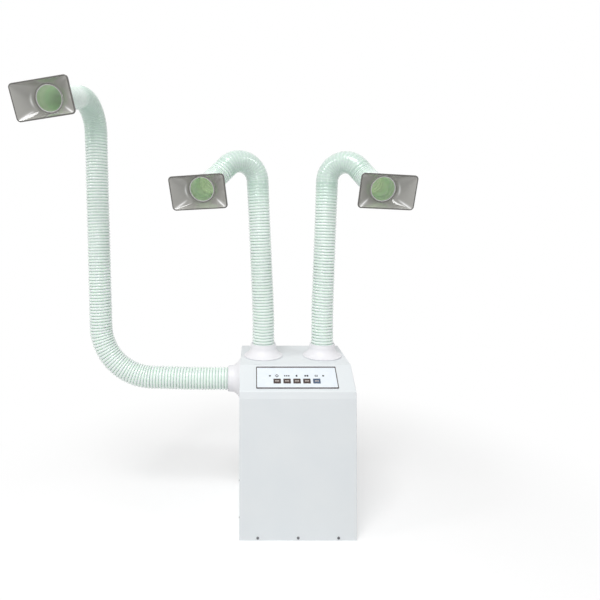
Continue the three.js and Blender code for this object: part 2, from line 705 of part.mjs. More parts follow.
// Fan: the motor stands on the tray, and the impeller draws through the ring in the deck
function addFan() {
  const motorTop = trayFloor + MOTOR_HEIGHT;
  const boreLow = motorTop - SHAFT_IN_MOTOR;
  const motorBore = clearRadius(SHAFT_RADIUS + CLEARANCE);
  const shoulderLow = motorTop + CLEARANCE;
  const hubLow = shoulderLow + SHOULDER_HEIGHT + CLEARANCE;
  const hubTop = hubLow + HUB_HEIGHT;
  const plateLow = hubLow + FAN_PLATE;
  const shroudLow = plateLow + FAN_PLATE + FAN_HEIGHT;
  const eyeRadius = throatOuter + EYE_GAP;
  const throatLow = shroudLow + FAN_PLATE - EYE_OVERLAP;
  const ringLow = DECK_HEIGHT + CLEARANCE;

  addPiece('fan_motor', turned([
    [0, trayFloor],
    [MOTOR_FOOT_RADIUS, trayFloor],
    [MOTOR_FOOT_RADIUS, trayFloor + MOTOR_FOOT_THICKNESS],
    [MOTOR_RADIUS, trayFloor + MOTOR_FOOT_THICKNESS],
    [MOTOR_RADIUS, motorTop],
    [motorBore, motorTop],
    [motorBore, boreLow],
    [0, boreLow],
  ]), darkSteel);

  addPiece('motor_shaft', turned([
    [0, boreLow + CLEARANCE],
    [SHAFT_RADIUS, boreLow + CLEARANCE],
    [SHAFT_RADIUS, shoulderLow],
    [SHOULDER_RADIUS, shoulderLow],
    [SHOULDER_RADIUS, shoulderLow + SHOULDER_HEIGHT],
    [SHAFT_RADIUS, shoulderLow + SHOULDER_HEIGHT],
    [SHAFT_RADIUS, hubTop],
    [0, hubTop],
  ], SHAFT_SIDES), zinc);

  const hubBore = clearRadius(SHAFT_RADIUS + CLEARANCE, SHAFT_SIDES);
  const hub = turned([
    [hubBore, hubLow],
    [HUB_RADIUS, hubLow],
    [HUB_RADIUS, plateLow],
    [FAN_RADIUS, plateLow],
    [FAN_RADIUS, plateLow + FAN_PLATE],
    [HUB_RADIUS, plateLow + FAN_PLATE],
    [HUB_RADIUS, hubTop],
    [hubBore, hubTop],
    [hubBore, hubLow],
  ]);
  const shroud = turned([
    [eyeRadius, shroudLow],
    [FAN_RADIUS, shroudLow],
    [FAN_RADIUS, shroudLow + FAN_PLATE],
    [eyeRadius, shroudLow + FAN_PLATE],
    [eyeRadius, shroudLow],
  ]);
  const bladeInner = eyeRadius + BLADE_INSET;
  const bladeOuter = FAN_RADIUS - BLADE_INSET;
  const bladeSpan = [0, 1 / 3, 2 / 3, 1];
  const bladePoint = (share, offset) => {
    const radius = THREE.MathUtils.lerp(bladeInner, bladeOuter, share) + offset * (1 - share);
    const angle = -BLADE_SWEEP * share + (offset * share) / radius;
    return [radius * Math.cos(angle), radius * Math.sin(angle)];
  };
  const bladeShape = outline([
    ...bladeSpan.map((share) => bladePoint(share, 0)),
    ...bladeSpan.toReversed().map((share) => bladePoint(share, BLADE_THICKNESS)),
  ]);
  const blades = Array.from({ length: BLADE_COUNT }, (_, i) => (
    extruded(bladeShape, FAN_HEIGHT + FAN_PLATE)
      .translate(0, 0, plateLow + FAN_PLATE / 2)
      .rotateZ((2 * Math.PI * i) / BLADE_COUNT)
  ));
  addPiece('impeller', joined([hub, shroud, ...blades]), blackPlastic);

  addPiece('inlet_ring', turned([
    [INLET_RADIUS, throatLow],
    [throatOuter, throatLow],
    [throatOuter, ringLow],
    [throatOuter + INLET_FLANGE, ringLow],
    [throatOuter + INLET_FLANGE, ringLow + INLET_WALL],
    [throatOuter + INLET_WALL, ringLow + INLET_WALL],
    [INLET_RADIUS, ringLow - INLET_FLARE],
    [INLET_RADIUS, throatLow],
  ]), zinc);
}

// Hose flange on the sheet, drawn along +Z from the sheet's outer face
function flangeProfile() {
  const low = CLEARANCE;
  const bore = clearRadius(collarBore);
  const collarRadius = collarBore + COLLAR_WALL;
  const bellSteps = [0, 1 / 4, 1 / 2, 3 / 4, 1];
  const bell = bellSteps.map((share) => [
    collarRadius + (FLANGE_RADIUS - FLANGE_EDGE - collarRadius) * (1 - share) ** 2,
    low + FLANGE_EDGE + (BELL_TOP - FLANGE_EDGE) * share,
  ]);
  return [
    [HOSE_BORE_RADIUS, low - SPIGOT_LENGTH],
    [SPIGOT_RADIUS, low - SPIGOT_LENGTH],
    [SPIGOT_RADIUS, low],
    [FLANGE_RADIUS, low],
    [FLANGE_RADIUS, low + FLANGE_EDGE],
    ...bell,
    [collarRadius, low + FLANGE_HEIGHT],
    [bore, low + FLANGE_HEIGHT],
    [bore, low + FLANGE_LEDGE],
    [HOSE_BORE_RADIUS, low + FLANGE_LEDGE],
    [HOSE_BORE_RADIUS, low - SPIGOT_LENGTH],
  ];
}

function lockRingProfile() {
  const high = -SHEET - CLEARANCE;
  const low = high - LOCK_RING_THICKNESS;
  const bore = clearRadius(SPIGOT_RADIUS + CLEARANCE);
  return [
    [bore, low],
    [LOCK_RING_RADIUS, low],
    [LOCK_RING_RADIUS, high],
    [bore, high],
    [bore, low],
  ];
}

// Cuff on the hose's first end, which turns in the flange and rests its lip on the collar
function swivelCuffProfile() {
  const low = CLEARANCE + FLANGE_LEDGE + CLEARANCE;
  const lipLow = CLEARANCE + FLANGE_HEIGHT + CLEARANCE;
  const lipHigh = lipLow + CUFF_LIP_THICKNESS;
  const socket = clearRadius(socketRadius);
  return [
    [HOSE_BORE_RADIUS, low],
    [swivelRadius, low],
    [swivelRadius, lipLow],
    [swivelRadius + CUFF_LIP, lipLow],
    [swivelRadius + CUFF_LIP, lipHigh],
    [socket, lipHigh],
    [socket, low + CUFF_STOP],
    [HOSE_BORE_RADIUS, low + CUFF_STOP],
    [HOSE_BORE_RADIUS, low],
  ];
}

// Cuff on the hose's hood end, measured from the hose's end face: a lip behind the neck and a ring in front
function endCuffProfile() {
  const low = -END_CUFF_LENGTH;
  const socket = clearRadius(socketRadius);
  return [
    [socket, low],
    [endCuffRadius + END_CUFF_LIP, low],
    [endCuffRadius + END_CUFF_LIP, low + END_CUFF_LIP],
    [endCuffRadius, low + END_CUFF_LIP],
    [endCuffRadius, cuffFace],
    [HOSE_BORE_RADIUS, cuffFace],
    [HOSE_BORE_RADIUS, CLEARANCE],
    [socket, CLEARANCE],
    [socket, low],
  ];
}

// Rings of the hood: the neck's circle and the mouth's rounded rectangle have matching points
function neckRing(radius, z) {
  const count = 4 * CORNER_STEPS;
  return Array.from({ length: count }, (_, i) => {
    const angle = (2 * Math.PI * (i + 0.5)) / count;
    return new THREE.Vector3(radius * Math.cos(angle), radius * Math.sin(angle), z);
  });
}

function mouthRing(width, height, corner, z) {
  const points = [];
  [[1, 1], [-1, 1], [-1, -1], [1, -1]].forEach(([signX, signY], quarter) => {
    for (let step = 0; step < CORNER_STEPS; step += 1) {
      const angle = (quarter + step / (CORNER_STEPS - 1)) * (Math.PI / 2);
      points.push(new THREE.Vector3(
        signX * (width / 2 - corner) + corner * Math.cos(angle),
        signY * (height / 2 - corner) + corner * Math.sin(angle),
        z,
      ));
    }
  });
  return points;
}

function hoodGeometry() {
  const neckLow = CLEARANCE + END_CUFF_LIP - END_CUFF_LENGTH;
  const throat = cuffFace + CLEARANCE;
  const mouth = throat + HOOD_DEPTH;
  const rimLow = mouth - HOOD_RIM_THICKNESS;
  const bore = clearRadius(neckBore, 4 * CORNER_STEPS);
  const wallWidth = HOOD_WIDTH - 2 * HOOD_RIM;
  const wallHeight = HOOD_HEIGHT - 2 * HOOD_RIM;
  return ringLoop([
    neckRing(bore + HOOD_WALL, neckLow),
    neckRing(bore + HOOD_WALL, throat - HOOD_WALL / 2),
    mouthRing(wallWidth, wallHeight, HOOD_CORNER, rimLow),
    mouthRing(HOOD_WIDTH, HOOD_HEIGHT, HOOD_CORNER + HOOD_RIM, rimLow),
    mouthRing(HOOD_WIDTH, HOOD_HEIGHT, HOOD_CORNER + HOOD_RIM, mouth),
    mouthRing(wallWidth - 2 * HOOD_WALL, wallHeight - 2 * HOOD_WALL, HOOD_CORNER - HOOD_WALL, mouth),
    neckRing(bore, throat),
    neckRing(bore, neckLow),
  ]);
}

// A group whose Z axis follows the heading, with its X axis level, then rolled
function groupAlong(point, heading, roll) {
  const level = new THREE.Vector3(0, 0, 1).cross(heading).normalize();
  const upright = heading.clone().cross(level);
  const holder = new THREE.Group();
  holder.quaternion.setFromRotationMatrix(new THREE.Matrix4().makeBasis(level, upright, heading));
  holder.rotateZ(roll);
  holder.position.copy(point);
  group.add(holder);
  return holder;
}

function addArm(arm) {
  const seat = armSeat(arm);
  const axis = armAxis(arm);
  addPiece(`${arm.name}_flange`, aimed(turned(flangeProfile()), seat, axis), whitePlastic);
  addPiece(`${arm.name}_lock_ring`, aimed(turned(lockRingProfile()), seat, axis), whitePlastic);
  addPiece(`${arm.name}_swivel_cuff`, aimed(turned(swivelCuffProfile()), seat, axis), whitePlastic);

  const offsets = [arm.lead, ...arm.corners.map((corner) => corner.at), arm.tip];
  const points = [
    seat.clone().addScaledVector(axis, hoseSeat),
    ...offsets.map((offset) => new THREE.Vector3(...offset).add(seat)),
  ];
  const route = new HoseRoute(points, [LEAD_BEND_RADIUS, ...arm.corners.map((corner) => corner.radius)]);
  const [, first, second] = route.arcs;
  const half = CLEARANCE / 2;
  const lengths = {
    run_1: [0, first.from - half, RIBS_PER_BORE_RING],
    bend_1: [first.from + half, first.to - half, 1],
    run_2: [first.to + half, second.from - half, RIBS_PER_BORE_RING],
    bend_2: [second.from + half, second.to - half, 1],
    run_3: [second.to + half, route.length, RIBS_PER_BORE_RING],
  };
  Object.entries(lengths).forEach(([part, [from, to, ribsPerBoreRing]]) => {
    addPiece(`${arm.name}_hose_${part}`, hoseLength(route, from, to, ribsPerBoreRing), mintHose);
  });

  const end = route.at(route.length);
  const holder = groupAlong(end.point, end.heading, arm.hoodRoll);
  addPiece(`${arm.name}_end_cuff`, turned(endCuffProfile()), whitePlastic, holder);
  addPiece(`${arm.name}_hood`, hoodGeometry(), smokePlastic, holder);
}

addShell();
addBaseTray();
addRearPanel();
addScrews('front_screw', frontScrewPlaces, towardsFront, darkSteel);
addScrews('side_screw', sideScrewPlaces, towardsLeft, zinc);
addScrews('rear_screw', rearScrewPlaces, towardsRear, zinc);
addPowerInlet();
addControls();
addFilters();
addFan();
ARMS.forEach(addArm);

export default group;
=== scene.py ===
"""Looks of a fume extraction cabinet with three hose arms, built round its fixed frame in metres."""
import json
import math

import bmesh
import bpy
from mathutils import Matrix, Vector


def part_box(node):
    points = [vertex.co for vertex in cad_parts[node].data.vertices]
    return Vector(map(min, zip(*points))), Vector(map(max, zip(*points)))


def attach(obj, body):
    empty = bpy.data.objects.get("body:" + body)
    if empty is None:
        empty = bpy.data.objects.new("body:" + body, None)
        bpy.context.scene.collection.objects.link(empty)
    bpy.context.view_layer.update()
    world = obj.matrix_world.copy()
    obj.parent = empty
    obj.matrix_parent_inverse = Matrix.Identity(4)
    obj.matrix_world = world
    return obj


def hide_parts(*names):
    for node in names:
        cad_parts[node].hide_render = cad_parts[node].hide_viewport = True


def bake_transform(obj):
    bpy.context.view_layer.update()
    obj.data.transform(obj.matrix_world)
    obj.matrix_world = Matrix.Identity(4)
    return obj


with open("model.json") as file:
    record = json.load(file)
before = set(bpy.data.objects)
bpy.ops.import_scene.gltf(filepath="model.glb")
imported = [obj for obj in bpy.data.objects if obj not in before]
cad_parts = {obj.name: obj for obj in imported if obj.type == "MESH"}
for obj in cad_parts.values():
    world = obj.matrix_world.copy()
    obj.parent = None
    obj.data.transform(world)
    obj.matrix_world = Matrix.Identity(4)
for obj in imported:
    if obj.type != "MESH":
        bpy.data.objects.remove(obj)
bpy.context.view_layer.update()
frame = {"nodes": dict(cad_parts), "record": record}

# Camera: the picture is PHOTO_SIZE pixels square, and the optical axis meets it at the principal point
PHOTO_SIZE = 600
FOCAL_PIXELS = 479.8
PRINCIPAL_X = 253.3
PRINCIPAL_Y = 220
CAMERA_PLACE = Vector((-0.1355, -1.6224, 0.9532))
CAMERA_PITCH = math.radians(-0.57)
SENSOR_WIDTH = 36

# Cabinet, with places taken from the frame
SHELL_LOW, SHELL_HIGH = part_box("cabinet_shell")
FRONT_Y = SHELL_LOW.y
REAR_Y = SHELL_HIGH.y
TOP_Z = SHELL_HIGH.z
HALF_WIDTH = SHELL_HIGH.x
SLOPE_RISE = 0.060
SLOPE_SETBACK = 0.089
SHEET = 0.0015
CLEARANCE = 0.0003
BEND_RADIUS = 0.0020
BEND_STEPS = 12
BAND_HEIGHT = 0.018
BAND_LEAN = 0.0034

# Control face, measured up the slope from its lower edge
FASCIA_WIDTH = 0.254
FASCIA_HEIGHT = 0.084
FASCIA_THICKNESS = 0.0012
FASCIA_CORNER = 0.003
FASCIA_CENTRE = 0.0562
BORDER_SIDE = 0.0030
BORDER_BAR = 0.0048
INK_HEIGHT = 0.00012
KEY_COUNT = 5
KEY_SPACING = 0.03075
KEY_WIDTH = 0.0225
KEY_HEIGHT = 0.0175
KEY_ROW = 0.0424
KEY_TOP = 0.0024
KEY_SKIRT = 0.0015
KEY_CORNER = 0.0016
KEY_LEAST_CORNER = 0.0006
KEY_DISH = 0.0003
# Levels of a key cap, as (growth of the outline, height)
KEY_LEVELS = [
    (KEY_SKIRT, -0.0012),
    (KEY_SKIRT, -0.0003),
    (0.0, -0.0003),
    (0.0, KEY_TOP - 0.0007),
    (-0.0002, KEY_TOP - 0.0002),
    (-0.0007, KEY_TOP),
    (-0.003, KEY_TOP - 0.0002),
    (-0.006, KEY_TOP - KEY_DISH),
]
MARK_WIDTH = 0.0034
MARK_LENGTH = 0.0036
MARK_SPACING = 0.0042
MARK_CORNER = 0.0007
MARK_HEIGHT = 0.00025
LENS_ROW = 0.0622
LENS_SPACING = 0.1668
LENS_RADIUS = 0.0032
LENS_PROUD = 0.0006
ICON_STROKE = 0.0021
ICON_CORNER = 0.0005
DIAMOND_WIDTH = 0.0124
BOX_WIDTH = 0.0088
BOX_HEIGHT = 0.0064
DOT_ROUNDING = 0.3
DOT_CORNER_STEPS = 4
# Rows of dots above the middle keys, as (count, spacing, dot width, dot height)
ICON_DOTS = [(3, 0.0064, 0.0044, 0.0048), (1, 0.0, 0.0052, 0.0072), (2, 0.0070, 0.0054, 0.0060)]

# Screws
SCREW_RADIUS = 0.002
SCREW_LENGTH = 0.009
SCREW_HEAD_RADIUS = 0.0042
SCREW_HEAD_HEIGHT = 0.0026
RECESS_LENGTH = 0.0046
RECESS_WIDTH = 0.001
RECESS_DEPTH = 0.0012
SCREW_SIDES = 24
DOME_STEPS = 8
CROWN_RADIUS = 0.0001

# Rear panel
LOUVRE_COUNT = 10
LOUVRE_PITCH = 0.013
LOUVRE_FIRST_Z = 0.045
LOUVRE_CENTRE_X = -0.035
LIP_HEIGHT = 0.0075
LIP_PROUD = 0.0028
LIP_THICKNESS = 0.0008
LIP_DROP = 0.0016
LIP_HALF_WIDTH = 0.107
# Ends of a lip, as (inset, share of its depth)
LIP_ENDS = [(0.0, 0.05), (0.0015, 0.6), (0.004, 1.0)]
SOCKET_WIDTH = 0.028
SOCKET_HEIGHT = 0.020
SOCKET_DEPTH = 0.024
SOCKET_RIM = 0.008
SOCKET_RIM_THICKNESS = 0.003
SOCKET_WALL = 0.0025
SOCKET_CAVITY = 0.018
PIN_LENGTH = 0.010
PIN_WIDTH = 0.002
PIN_HEIGHT = 0.004
PIN_SPACING = 0.007
PIN_ROOT = 0.001
PIN_CORNER = 0.0004
RIM_CORNER = 0.004
RIM_BEVEL = 0.0008
BARREL_CORNER = 0.002
CAVITY_CORNER = 0.001
CAVITY_SHOULDER = 0.004

# Hose and its fittings, measured along the axis from the sheet's outer face or from the hose's end
HOSE_CREST = 0.0378
HOSE_GROOVE = 0.0342
BORE_CREST = 0.0366
BORE_GROOVE = 0.0332
RIB_PITCH = 0.010
RIB_FADE_BEFORE = 0.110
RIB_FADE_AFTER = 0.050
SOAK_FADE = 0.025
# Places in the hose's colour ramp: grooves painted darker as painted shade, crests near white as painted
# highlight
GROOVE_SHADE_TONE = 0.15
FLANK_TONE = 0.55
# One rib, as (share of the pitch, share of the rib's height)
RIB_OUTSIDE = [(0.0, 0.0), (0.14, 0.7), (0.36, 1.0), (0.64, 1.0), (0.86, 0.7)]
RIB_INSIDE = [(0.0, 0.0), (0.5, 1.0)]
HOSE_SIDES = 40
HOSE_SEAT = 0.0149
CUFF_WALL = 0.0019
CUFF_STOP = 0.002
CUFF_BORE = HOSE_CREST + CLEARANCE
SWIVEL_RADIUS = CUFF_BORE + CUFF_WALL
SWIVEL_LOW = 0.0126
SWIVEL_LIP_LOW = 0.0406
SWIVEL_LIP_HIGH = 0.0436
SWIVEL_LIP = 0.0023
SWIVEL_LIP_FOOT = 0.0006
SWIVEL_LIP_ROUND = 0.0014
SWIVEL_MOUTH_ROUND = 0.0008
SWIVEL_LIP_RADIUS = SWIVEL_RADIUS + SWIVEL_LIP
COLLAR_WALL = 0.003
COLLAR_EASE = 0.001
COLLAR_BORE = SWIVEL_RADIUS + CLEARANCE
COLLAR_RADIUS = COLLAR_BORE + COLLAR_WALL
FLANGE_RADIUS = 0.066
FLANGE_EDGE = 0.004
FLANGE_HEIGHT = 0.040
FLANGE_LEDGE = 0.012
FLANGE_BORE = 0.03175
BELL_TOP = 0.030
BELL_STEPS = 14
SPIGOT_RADIUS = 0.037
SPIGOT_LENGTH = 0.014
END_CUFF_WALL = 0.0027
END_CUFF_RADIUS = CUFF_BORE + END_CUFF_WALL
END_CUFF_LOW = -0.026
END_CUFF_FACE = 0.0023
END_CUFF_LIP = 0.003
END_CUFF_EDGE = 0.0006
END_LIP_ROUND = 0.001
END_FACE_ROUND = 0.0012
END_RING_BORE = 0.0364
END_RING_WHITE = 0.0381
TURNED_SIDES = 96

# Hoods, measured along the axis from the hose's end
HOOD_WIDTH = 0.174
HOOD_HEIGHT = 0.106
HOOD_NECK_LOW = -0.0227
HOOD_THROAT = 0.0026
HOOD_MOUTH = 0.0426
HOOD_BORE = END_CUFF_RADIUS + CLEARANCE
HOOD_WALL = 0.002
HOOD_RIM = 0.002
HOOD_RIM_THICKNESS = 0.003
RIM_EASE = 0.0009
HOOD_CORNER = 0.012
HOOD_FLARE = 1.2
FLARE_STEPS = 24
CORNER_STEPS = 32
FLAT_STEPS = 6
CORNER_FROM = math.radians(15)
# Painted highlights inside the hoods: a white streak along each lower crease and a white crescent by the
# neck
STREAK_START = 0.052
STREAK_END = 0.100
STREAK_WIDTH = 0.0027
CRESCENT_RADIUS = 0.0483
CRESCENT_WIDTH = 0.0019
CRESCENT_FALL = 20

# Arm routes: seats on the sheet from the frame, and points measured from the seat. For the looks,
# bend_ribs is the share of the rib depth left in each bend, end_soak_and_shade the share of light that
# soaks into the bore, set lower on the side arm as painted shade, hood_roll the hood's turn in radians and
# crescent_side the side of its crescent of painted highlight
TOP_FLANGE_INSET = 0.077
TOP_FLANGE_Y = 0.030
SIDE_FLANGE_Y = 0.025
SIDE_FLANGE_DROP = 0.076
LEAD_BEND_RADIUS = 2.0
ARMS = [
    {
        "name": "side",
        "seat": (-HALF_WIDTH, SIDE_FLANGE_Y, TOP_Z - SIDE_FLANGE_DROP),
        "axis": (-1, 0, 0),
        "points": [(-0.150, 0, 0), (-0.474, 0, 0.009),
                   (-0.502, 0, 0.966), (-0.530, -0.304, 0.880)],
        "radii": [LEAD_BEND_RADIUS, 0.180, 0.096],
        "bend_ribs": [1.0, 1.0, 0.3],
        # Lower than on the other arms: painted shade that makes this arm's bore darker
        "end_soak_and_shade": 0.4,
        "hood_roll": 0.124,
        "crescent_side": -1,
    },
    {
        "name": "left",
        "seat": (TOP_FLANGE_INSET - HALF_WIDTH, TOP_FLANGE_Y, TOP_Z),
        "axis": (0, 0, 1),
        "points": [(0, 0, 0.150), (-0.026, -0.005, 0.747),
                   (-0.167, -0.080, 0.594), (-0.191, -0.191, 0.558)],
        "radii": [LEAD_BEND_RADIUS, 0.067, 0.080],
        "bend_ribs": [1.0, 0.1, 0.8],
        "end_soak_and_shade": 1.0,
        "hood_roll": 0.044,
        "crescent_side": -1,
    },
    {
        "name": "right",
        "seat": (HALF_WIDTH - TOP_FLANGE_INSET, TOP_FLANGE_Y, TOP_Z),
        "axis": (0, 0, 1),
        "points": [(0, 0, 0.150), (0.023, -0.005, 0.762),
                   (0.143, -0.080, 0.594), (0.156, -0.201, 0.558)],
        "radii": [LEAD_BEND_RADIUS, 0.063, 0.080],
        "bend_ribs": [1.0, 0.1, 0.8],
        "end_soak_and_shade": 1.0,
        "hood_roll": -0.043,
        "crescent_side": 1,
    },
]

# Mesh work
CORNER_SIGNS = [(-1, -1), (1, -1), (1, 1), (-1, 1)]
SMOOTH_ANGLE = math.radians(32)
SHEET_SMOOTH_ANGLE = math.radians(9)
CUT_MARGIN = 0.01
MERGE_DISTANCE = 1e-7
LEVEL_ERROR = 1e-6
FACING = 0.9
SMALL_CORNER_STEPS = 3

# Light that soaks into the hose: how far red, green and blue go, the depth, and the share of all light
HOSE_SOAK = (0.75, 1.0, 0.7)
HOSE_SOAK_DEPTH = 0.002
HOSE_SOAK_WEIGHT = 0.15
BORE_SOAK = (0.6, 1.0, 0.45)
BORE_SOAK_DEPTH = 0.048
BORE_SOAK_WEIGHT = 0.95
COAT_ROUGHNESS = 0.08

# Mottled finishes: dark and light colour, mottle scale, roughness range, grain scale and grain depth
MOTTLED = {
    "painted_sheet": ((231, 236, 239), (235, 239, 241), 7, (0.36, 0.46), 700, 0.00003),
    "white_plastic": ((241, 240, 244), (245, 244, 247), 18, (0.32, 0.42), 900, 0.00003),
    # hood_edge: a darker grey on the hood's rim, painted shade for the dark look of its edge
    "hood_edge": ((92, 90, 87), (106, 104, 100), 30, (0.12, 0.2), 500, 0.00001),
    "label_film": ((236, 243, 250), (241, 247, 252), 60, (0.42, 0.52), 2500, 0.00001),
    "border_ink": ((62, 51, 49), (74, 62, 60), 90, (0.4, 0.5), 2500, 0.00001),
    "icon_ink": ((20, 22, 34), (32, 34, 46), 120, (0.4, 0.5), 2500, 0.00001),
    "brown_key": ((64, 50, 48), (76, 61, 58), 160, (0.38, 0.5), 1800, 0.00002),
    "blue_key": ((70, 86, 112), (82, 98, 124), 160, (0.38, 0.5), 1800, 0.00002),
    "key_mark": ((206, 196, 190), (218, 208, 202), 200, (0.42, 0.5), 2500, 0.00001),
    "lens": ((20, 19, 21), (32, 30, 32), 300, (0.24, 0.34), 900, 0.00001),
    "bright_screw": ((152, 150, 148), (176, 174, 172), 260, (0.25, 0.42), 1500, 0.00002),
    "dark_screw": ((100, 101, 104), (122, 123, 126), 260, (0.25, 0.42), 1500, 0.00002),
    "filter_card": ((208, 202, 186), (224, 219, 205), 45, (0.8, 0.92), 500, 0.00008),
    "filter_media": ((236, 235, 229), (248, 247, 243), 110, (0.85, 0.95), 700, 0.0001),
    "black_plastic": ((28, 28, 30), (38, 38, 41), 70, (0.4, 0.56), 1200, 0.00004),
    "motor_case": ((64, 64, 67), (80, 80, 84), 60, (0.4, 0.6), 350, 0.0001),
}
FOAM_TONES = [(0.1, (62, 64, 66)), (0.6, (98, 101, 103))]
CARBON_TONES = [(0.0, (52, 54, 56)), (0.7, (24, 25, 27))]
COATS = {"painted_sheet": 0.15, "hood_edge": 0.4, "lens": 0.3}
METALS = {"bright_screw": 0.9, "dark_screw": 0.9, "motor_case": 0.5}

# Stage, and lamps as (name, place, target, size in metres, power in watts)
FLOOR_HALF = 8.0
FLOOR_SHADE = 0.82
FLOOR_GLOW = 0.3
FLOOR_FADE_FROM = 0.5
FLOOR_FADE_TO = 1.3
AMBIENT = 0.42
LAMPS = [
    ("key", (-0.9, -2.4, 4.1), (-0.2, 0, 0.6), 2.0, 91),
    ("front_fill", (-0.1, -3.0, 0.8), (-0.1, 0, 1.0), 0.6, 6),
    ("left_glint", (-2.1, -0.8, 2.2), (-0.2, -0.1, 1.0), 0.5, 7),
    ("right_glint", (1.7, -0.8, 2.2), (-0.2, -0.1, 1.0), 0.5, 5),
]


# Colours and materials

def linear(red, green, blue):
    """Scene colour of a display colour given in steps of 0 to 255."""
    def channel(value):
        share = value / 255
        return share / 12.92 if share <= 0.04045 else ((share + 0.055) / 1.055) ** 2.4
    return (channel(red), channel(green), channel(blue), 1.0)


def add_node(tree, kind, inputs, output=0, **settings):
    """Adds a shader node and returns an output. Each input is an output to link or a value to set."""
    node = tree.nodes.new("ShaderNode" + kind)
    for name, value in settings.items():
        setattr(node, name, value)
    for name, value in inputs.items():
        if isinstance(value, bpy.types.NodeSocket):
            tree.links.new(value, node.inputs[name])
        else:
            node.inputs[name].default_value = value
    return node.outputs[output]


class Finish:
    """A node material: a principled shader whose colour, roughness and relief vary over the surface."""

    def __init__(self, name, metallic=0.0, coat=0.0, specular=0.5):
        self.material = bpy.data.materials.new(name)
        self.material.use_nodes = True
        self.tree = self.material.node_tree
        self.shader = self.tree.nodes["Principled BSDF"]
        self.place = add_node(self.tree, "TexCoord", {}, "Object")
        self.set({"Metallic": metallic, "Coat Weight": coat, "Coat Roughness": COAT_ROUGHNESS})
        self.set({"Specular IOR Level": specular})

    def set(self, values):
        """Sets inputs of the shader that are the same all over the surface."""
        for name, value in values.items():
            self.shader.inputs[name].default_value = value

    def translucent(self, soak, depth, weight=0.0):
        """Lets light soak through a thin wall, green light farthest."""
        self.set({"Subsurface Radius": soak, "Subsurface Scale": depth, "Subsurface Weight": weight})

    def noise(self, scale, detail=3.0, place=None):
        inputs = {"Vector": place or self.place, "Scale": scale, "Detail": detail}
        return add_node(self.tree, "TexNoise", inputs, "Fac")

    def cells(self, scale, output="Distance"):
        return add_node(self.tree, "TexVoronoi", {"Vector": self.place, "Scale": scale}, output)

    def attribute(self, name):
        return add_node(self.tree, "Attribute", {}, "Fac", attribute_name=name)

    def ramp(self, factor, stops):
        """Colours along a factor: stops are (position, display colour)."""
        node = self.tree.nodes.new("ShaderNodeValToRGB")
        elements = node.color_ramp.elements
        while len(elements) < len(stops):
            elements.new(0.5)
        for element, (position, colour) in zip(elements, stops):
            element.position = position
            element.color = linear(*colour)
        self.tree.links.new(factor, node.inputs["Fac"])
        return node.outputs["Color"]

    def ranged(self, factor, low, high):
        return add_node(self.tree, "MapRange", {"Value": factor, "To Min": low, "To Max": high})

    def drive(self, socket, output):
        self.tree.links.new(output, self.shader.inputs[socket])

    def colour(self, output):
        self.drive("Base Color", output)

    def roughness(self, factor, low, high):
        self.drive("Roughness", self.ranged(factor, low, high))

    def bump(self, height, distance):
        self.drive("Normal", add_node(self.tree, "Bump", {"Height": height, "Distance": distance}))

    def clouded(self, colour, scale, tint, rough):
        """A colour that a slow noise darkens or lightens a little, with the roughness."""
        cloud = self.noise(scale)
        inputs = {0: colour, "Scale": self.ranged(cloud, *tint)}
        self.colour(add_node(self.tree, "VectorMath", inputs, operation="SCALE"))
        self.roughness(cloud, *rough)


def mottled(name, dark, light, scale, rough, grain_scale, grain_depth):
    """A finish that wanders between two close colours, with a fine moulded or sprayed grain."""
    finish = Finish(name, metallic=METALS.get(name, 0.0), coat=COATS.get(name, 0.0))
    wander = finish.noise(scale)
    grain = finish.noise(grain_scale, detail=2.0)
    finish.colour(finish.ramp(wander, [(0.3, dark), (0.7, light)]))
    finish.roughness(grain, *rough)
    finish.bump(grain, grain_depth)
    return finish.material


def mint_hose():
    """Painted shade in grooves, a near-white painted highlight on crests, in between where stretched flat.
    """
    finish = Finish("mint_hose", coat=0.9, specular=0.4)
    finish.translucent(HOSE_SOAK, HOSE_SOAK_DEPTH, HOSE_SOAK_WEIGHT)
    rib = finish.attribute("rib")
    stretched = (0.0, (224, 238, 232))
    groove = (GROOVE_SHADE_TONE, (192, 217, 204))
    flank = (FLANK_TONE, (225, 243, 234))
    crest = (1.0, (243, 254, 248))
    ramp = finish.ramp(rib, [stretched, groove, flank, crest])
    finish.clouded(ramp, 30, (0.95, 1.03), (0.22, 0.32))
    finish.bump(finish.noise(600, detail=2.0), 0.00003)
    return finish.material


def hose_bore():
    """The hose seen from inside, a deeper green. Light soaks in where no cuff covers the hose."""
    finish = Finish("hose_bore")
    finish.translucent(BORE_SOAK, BORE_SOAK_DEPTH)
    soak = finish.attribute("soak")
    finish.drive("Subsurface Weight", finish.ranged(soak, 0.0, BORE_SOAK_WEIGHT))
    ramp = finish.ramp(soak, [(0.0, (236, 255, 226)), (1.0, (172, 255, 150))])
    finish.clouded(ramp, 40, (0.96, 1.0), (0.35, 0.5))
    return finish.material


def smoke_hood():
    """Glossy smoke plastic, with painted white highlights where the "polish" attribute is high."""
    finish = Finish("smoke_hood", coat=1.0)
    ramp = finish.ramp(finish.attribute("painted_highlight"), [(0.0, (168, 167, 162)), (1.0, (255, 255, 255))])
    finish.clouded(ramp, 14, (0.94, 1.05), (0.06, 0.12))
    finish.bump(finish.noise(500, detail=2.0), 0.00001)
    return finish.material


def zinc_sheet():
    """Zinc plate with its faint spangle."""
    finish = Finish("zinc_sheet", metallic=0.85)
    spangle = finish.cells(90, "Color")
    cloud = finish.noise(12)
    finish.colour(finish.ramp(spangle, [(0.0, (176, 179, 182)), (1.0, (202, 205, 208))]))
    finish.roughness(cloud, 0.32, 0.5)
    finish.bump(finish.noise(400, detail=2.0), 0.00002)
    return finish.material


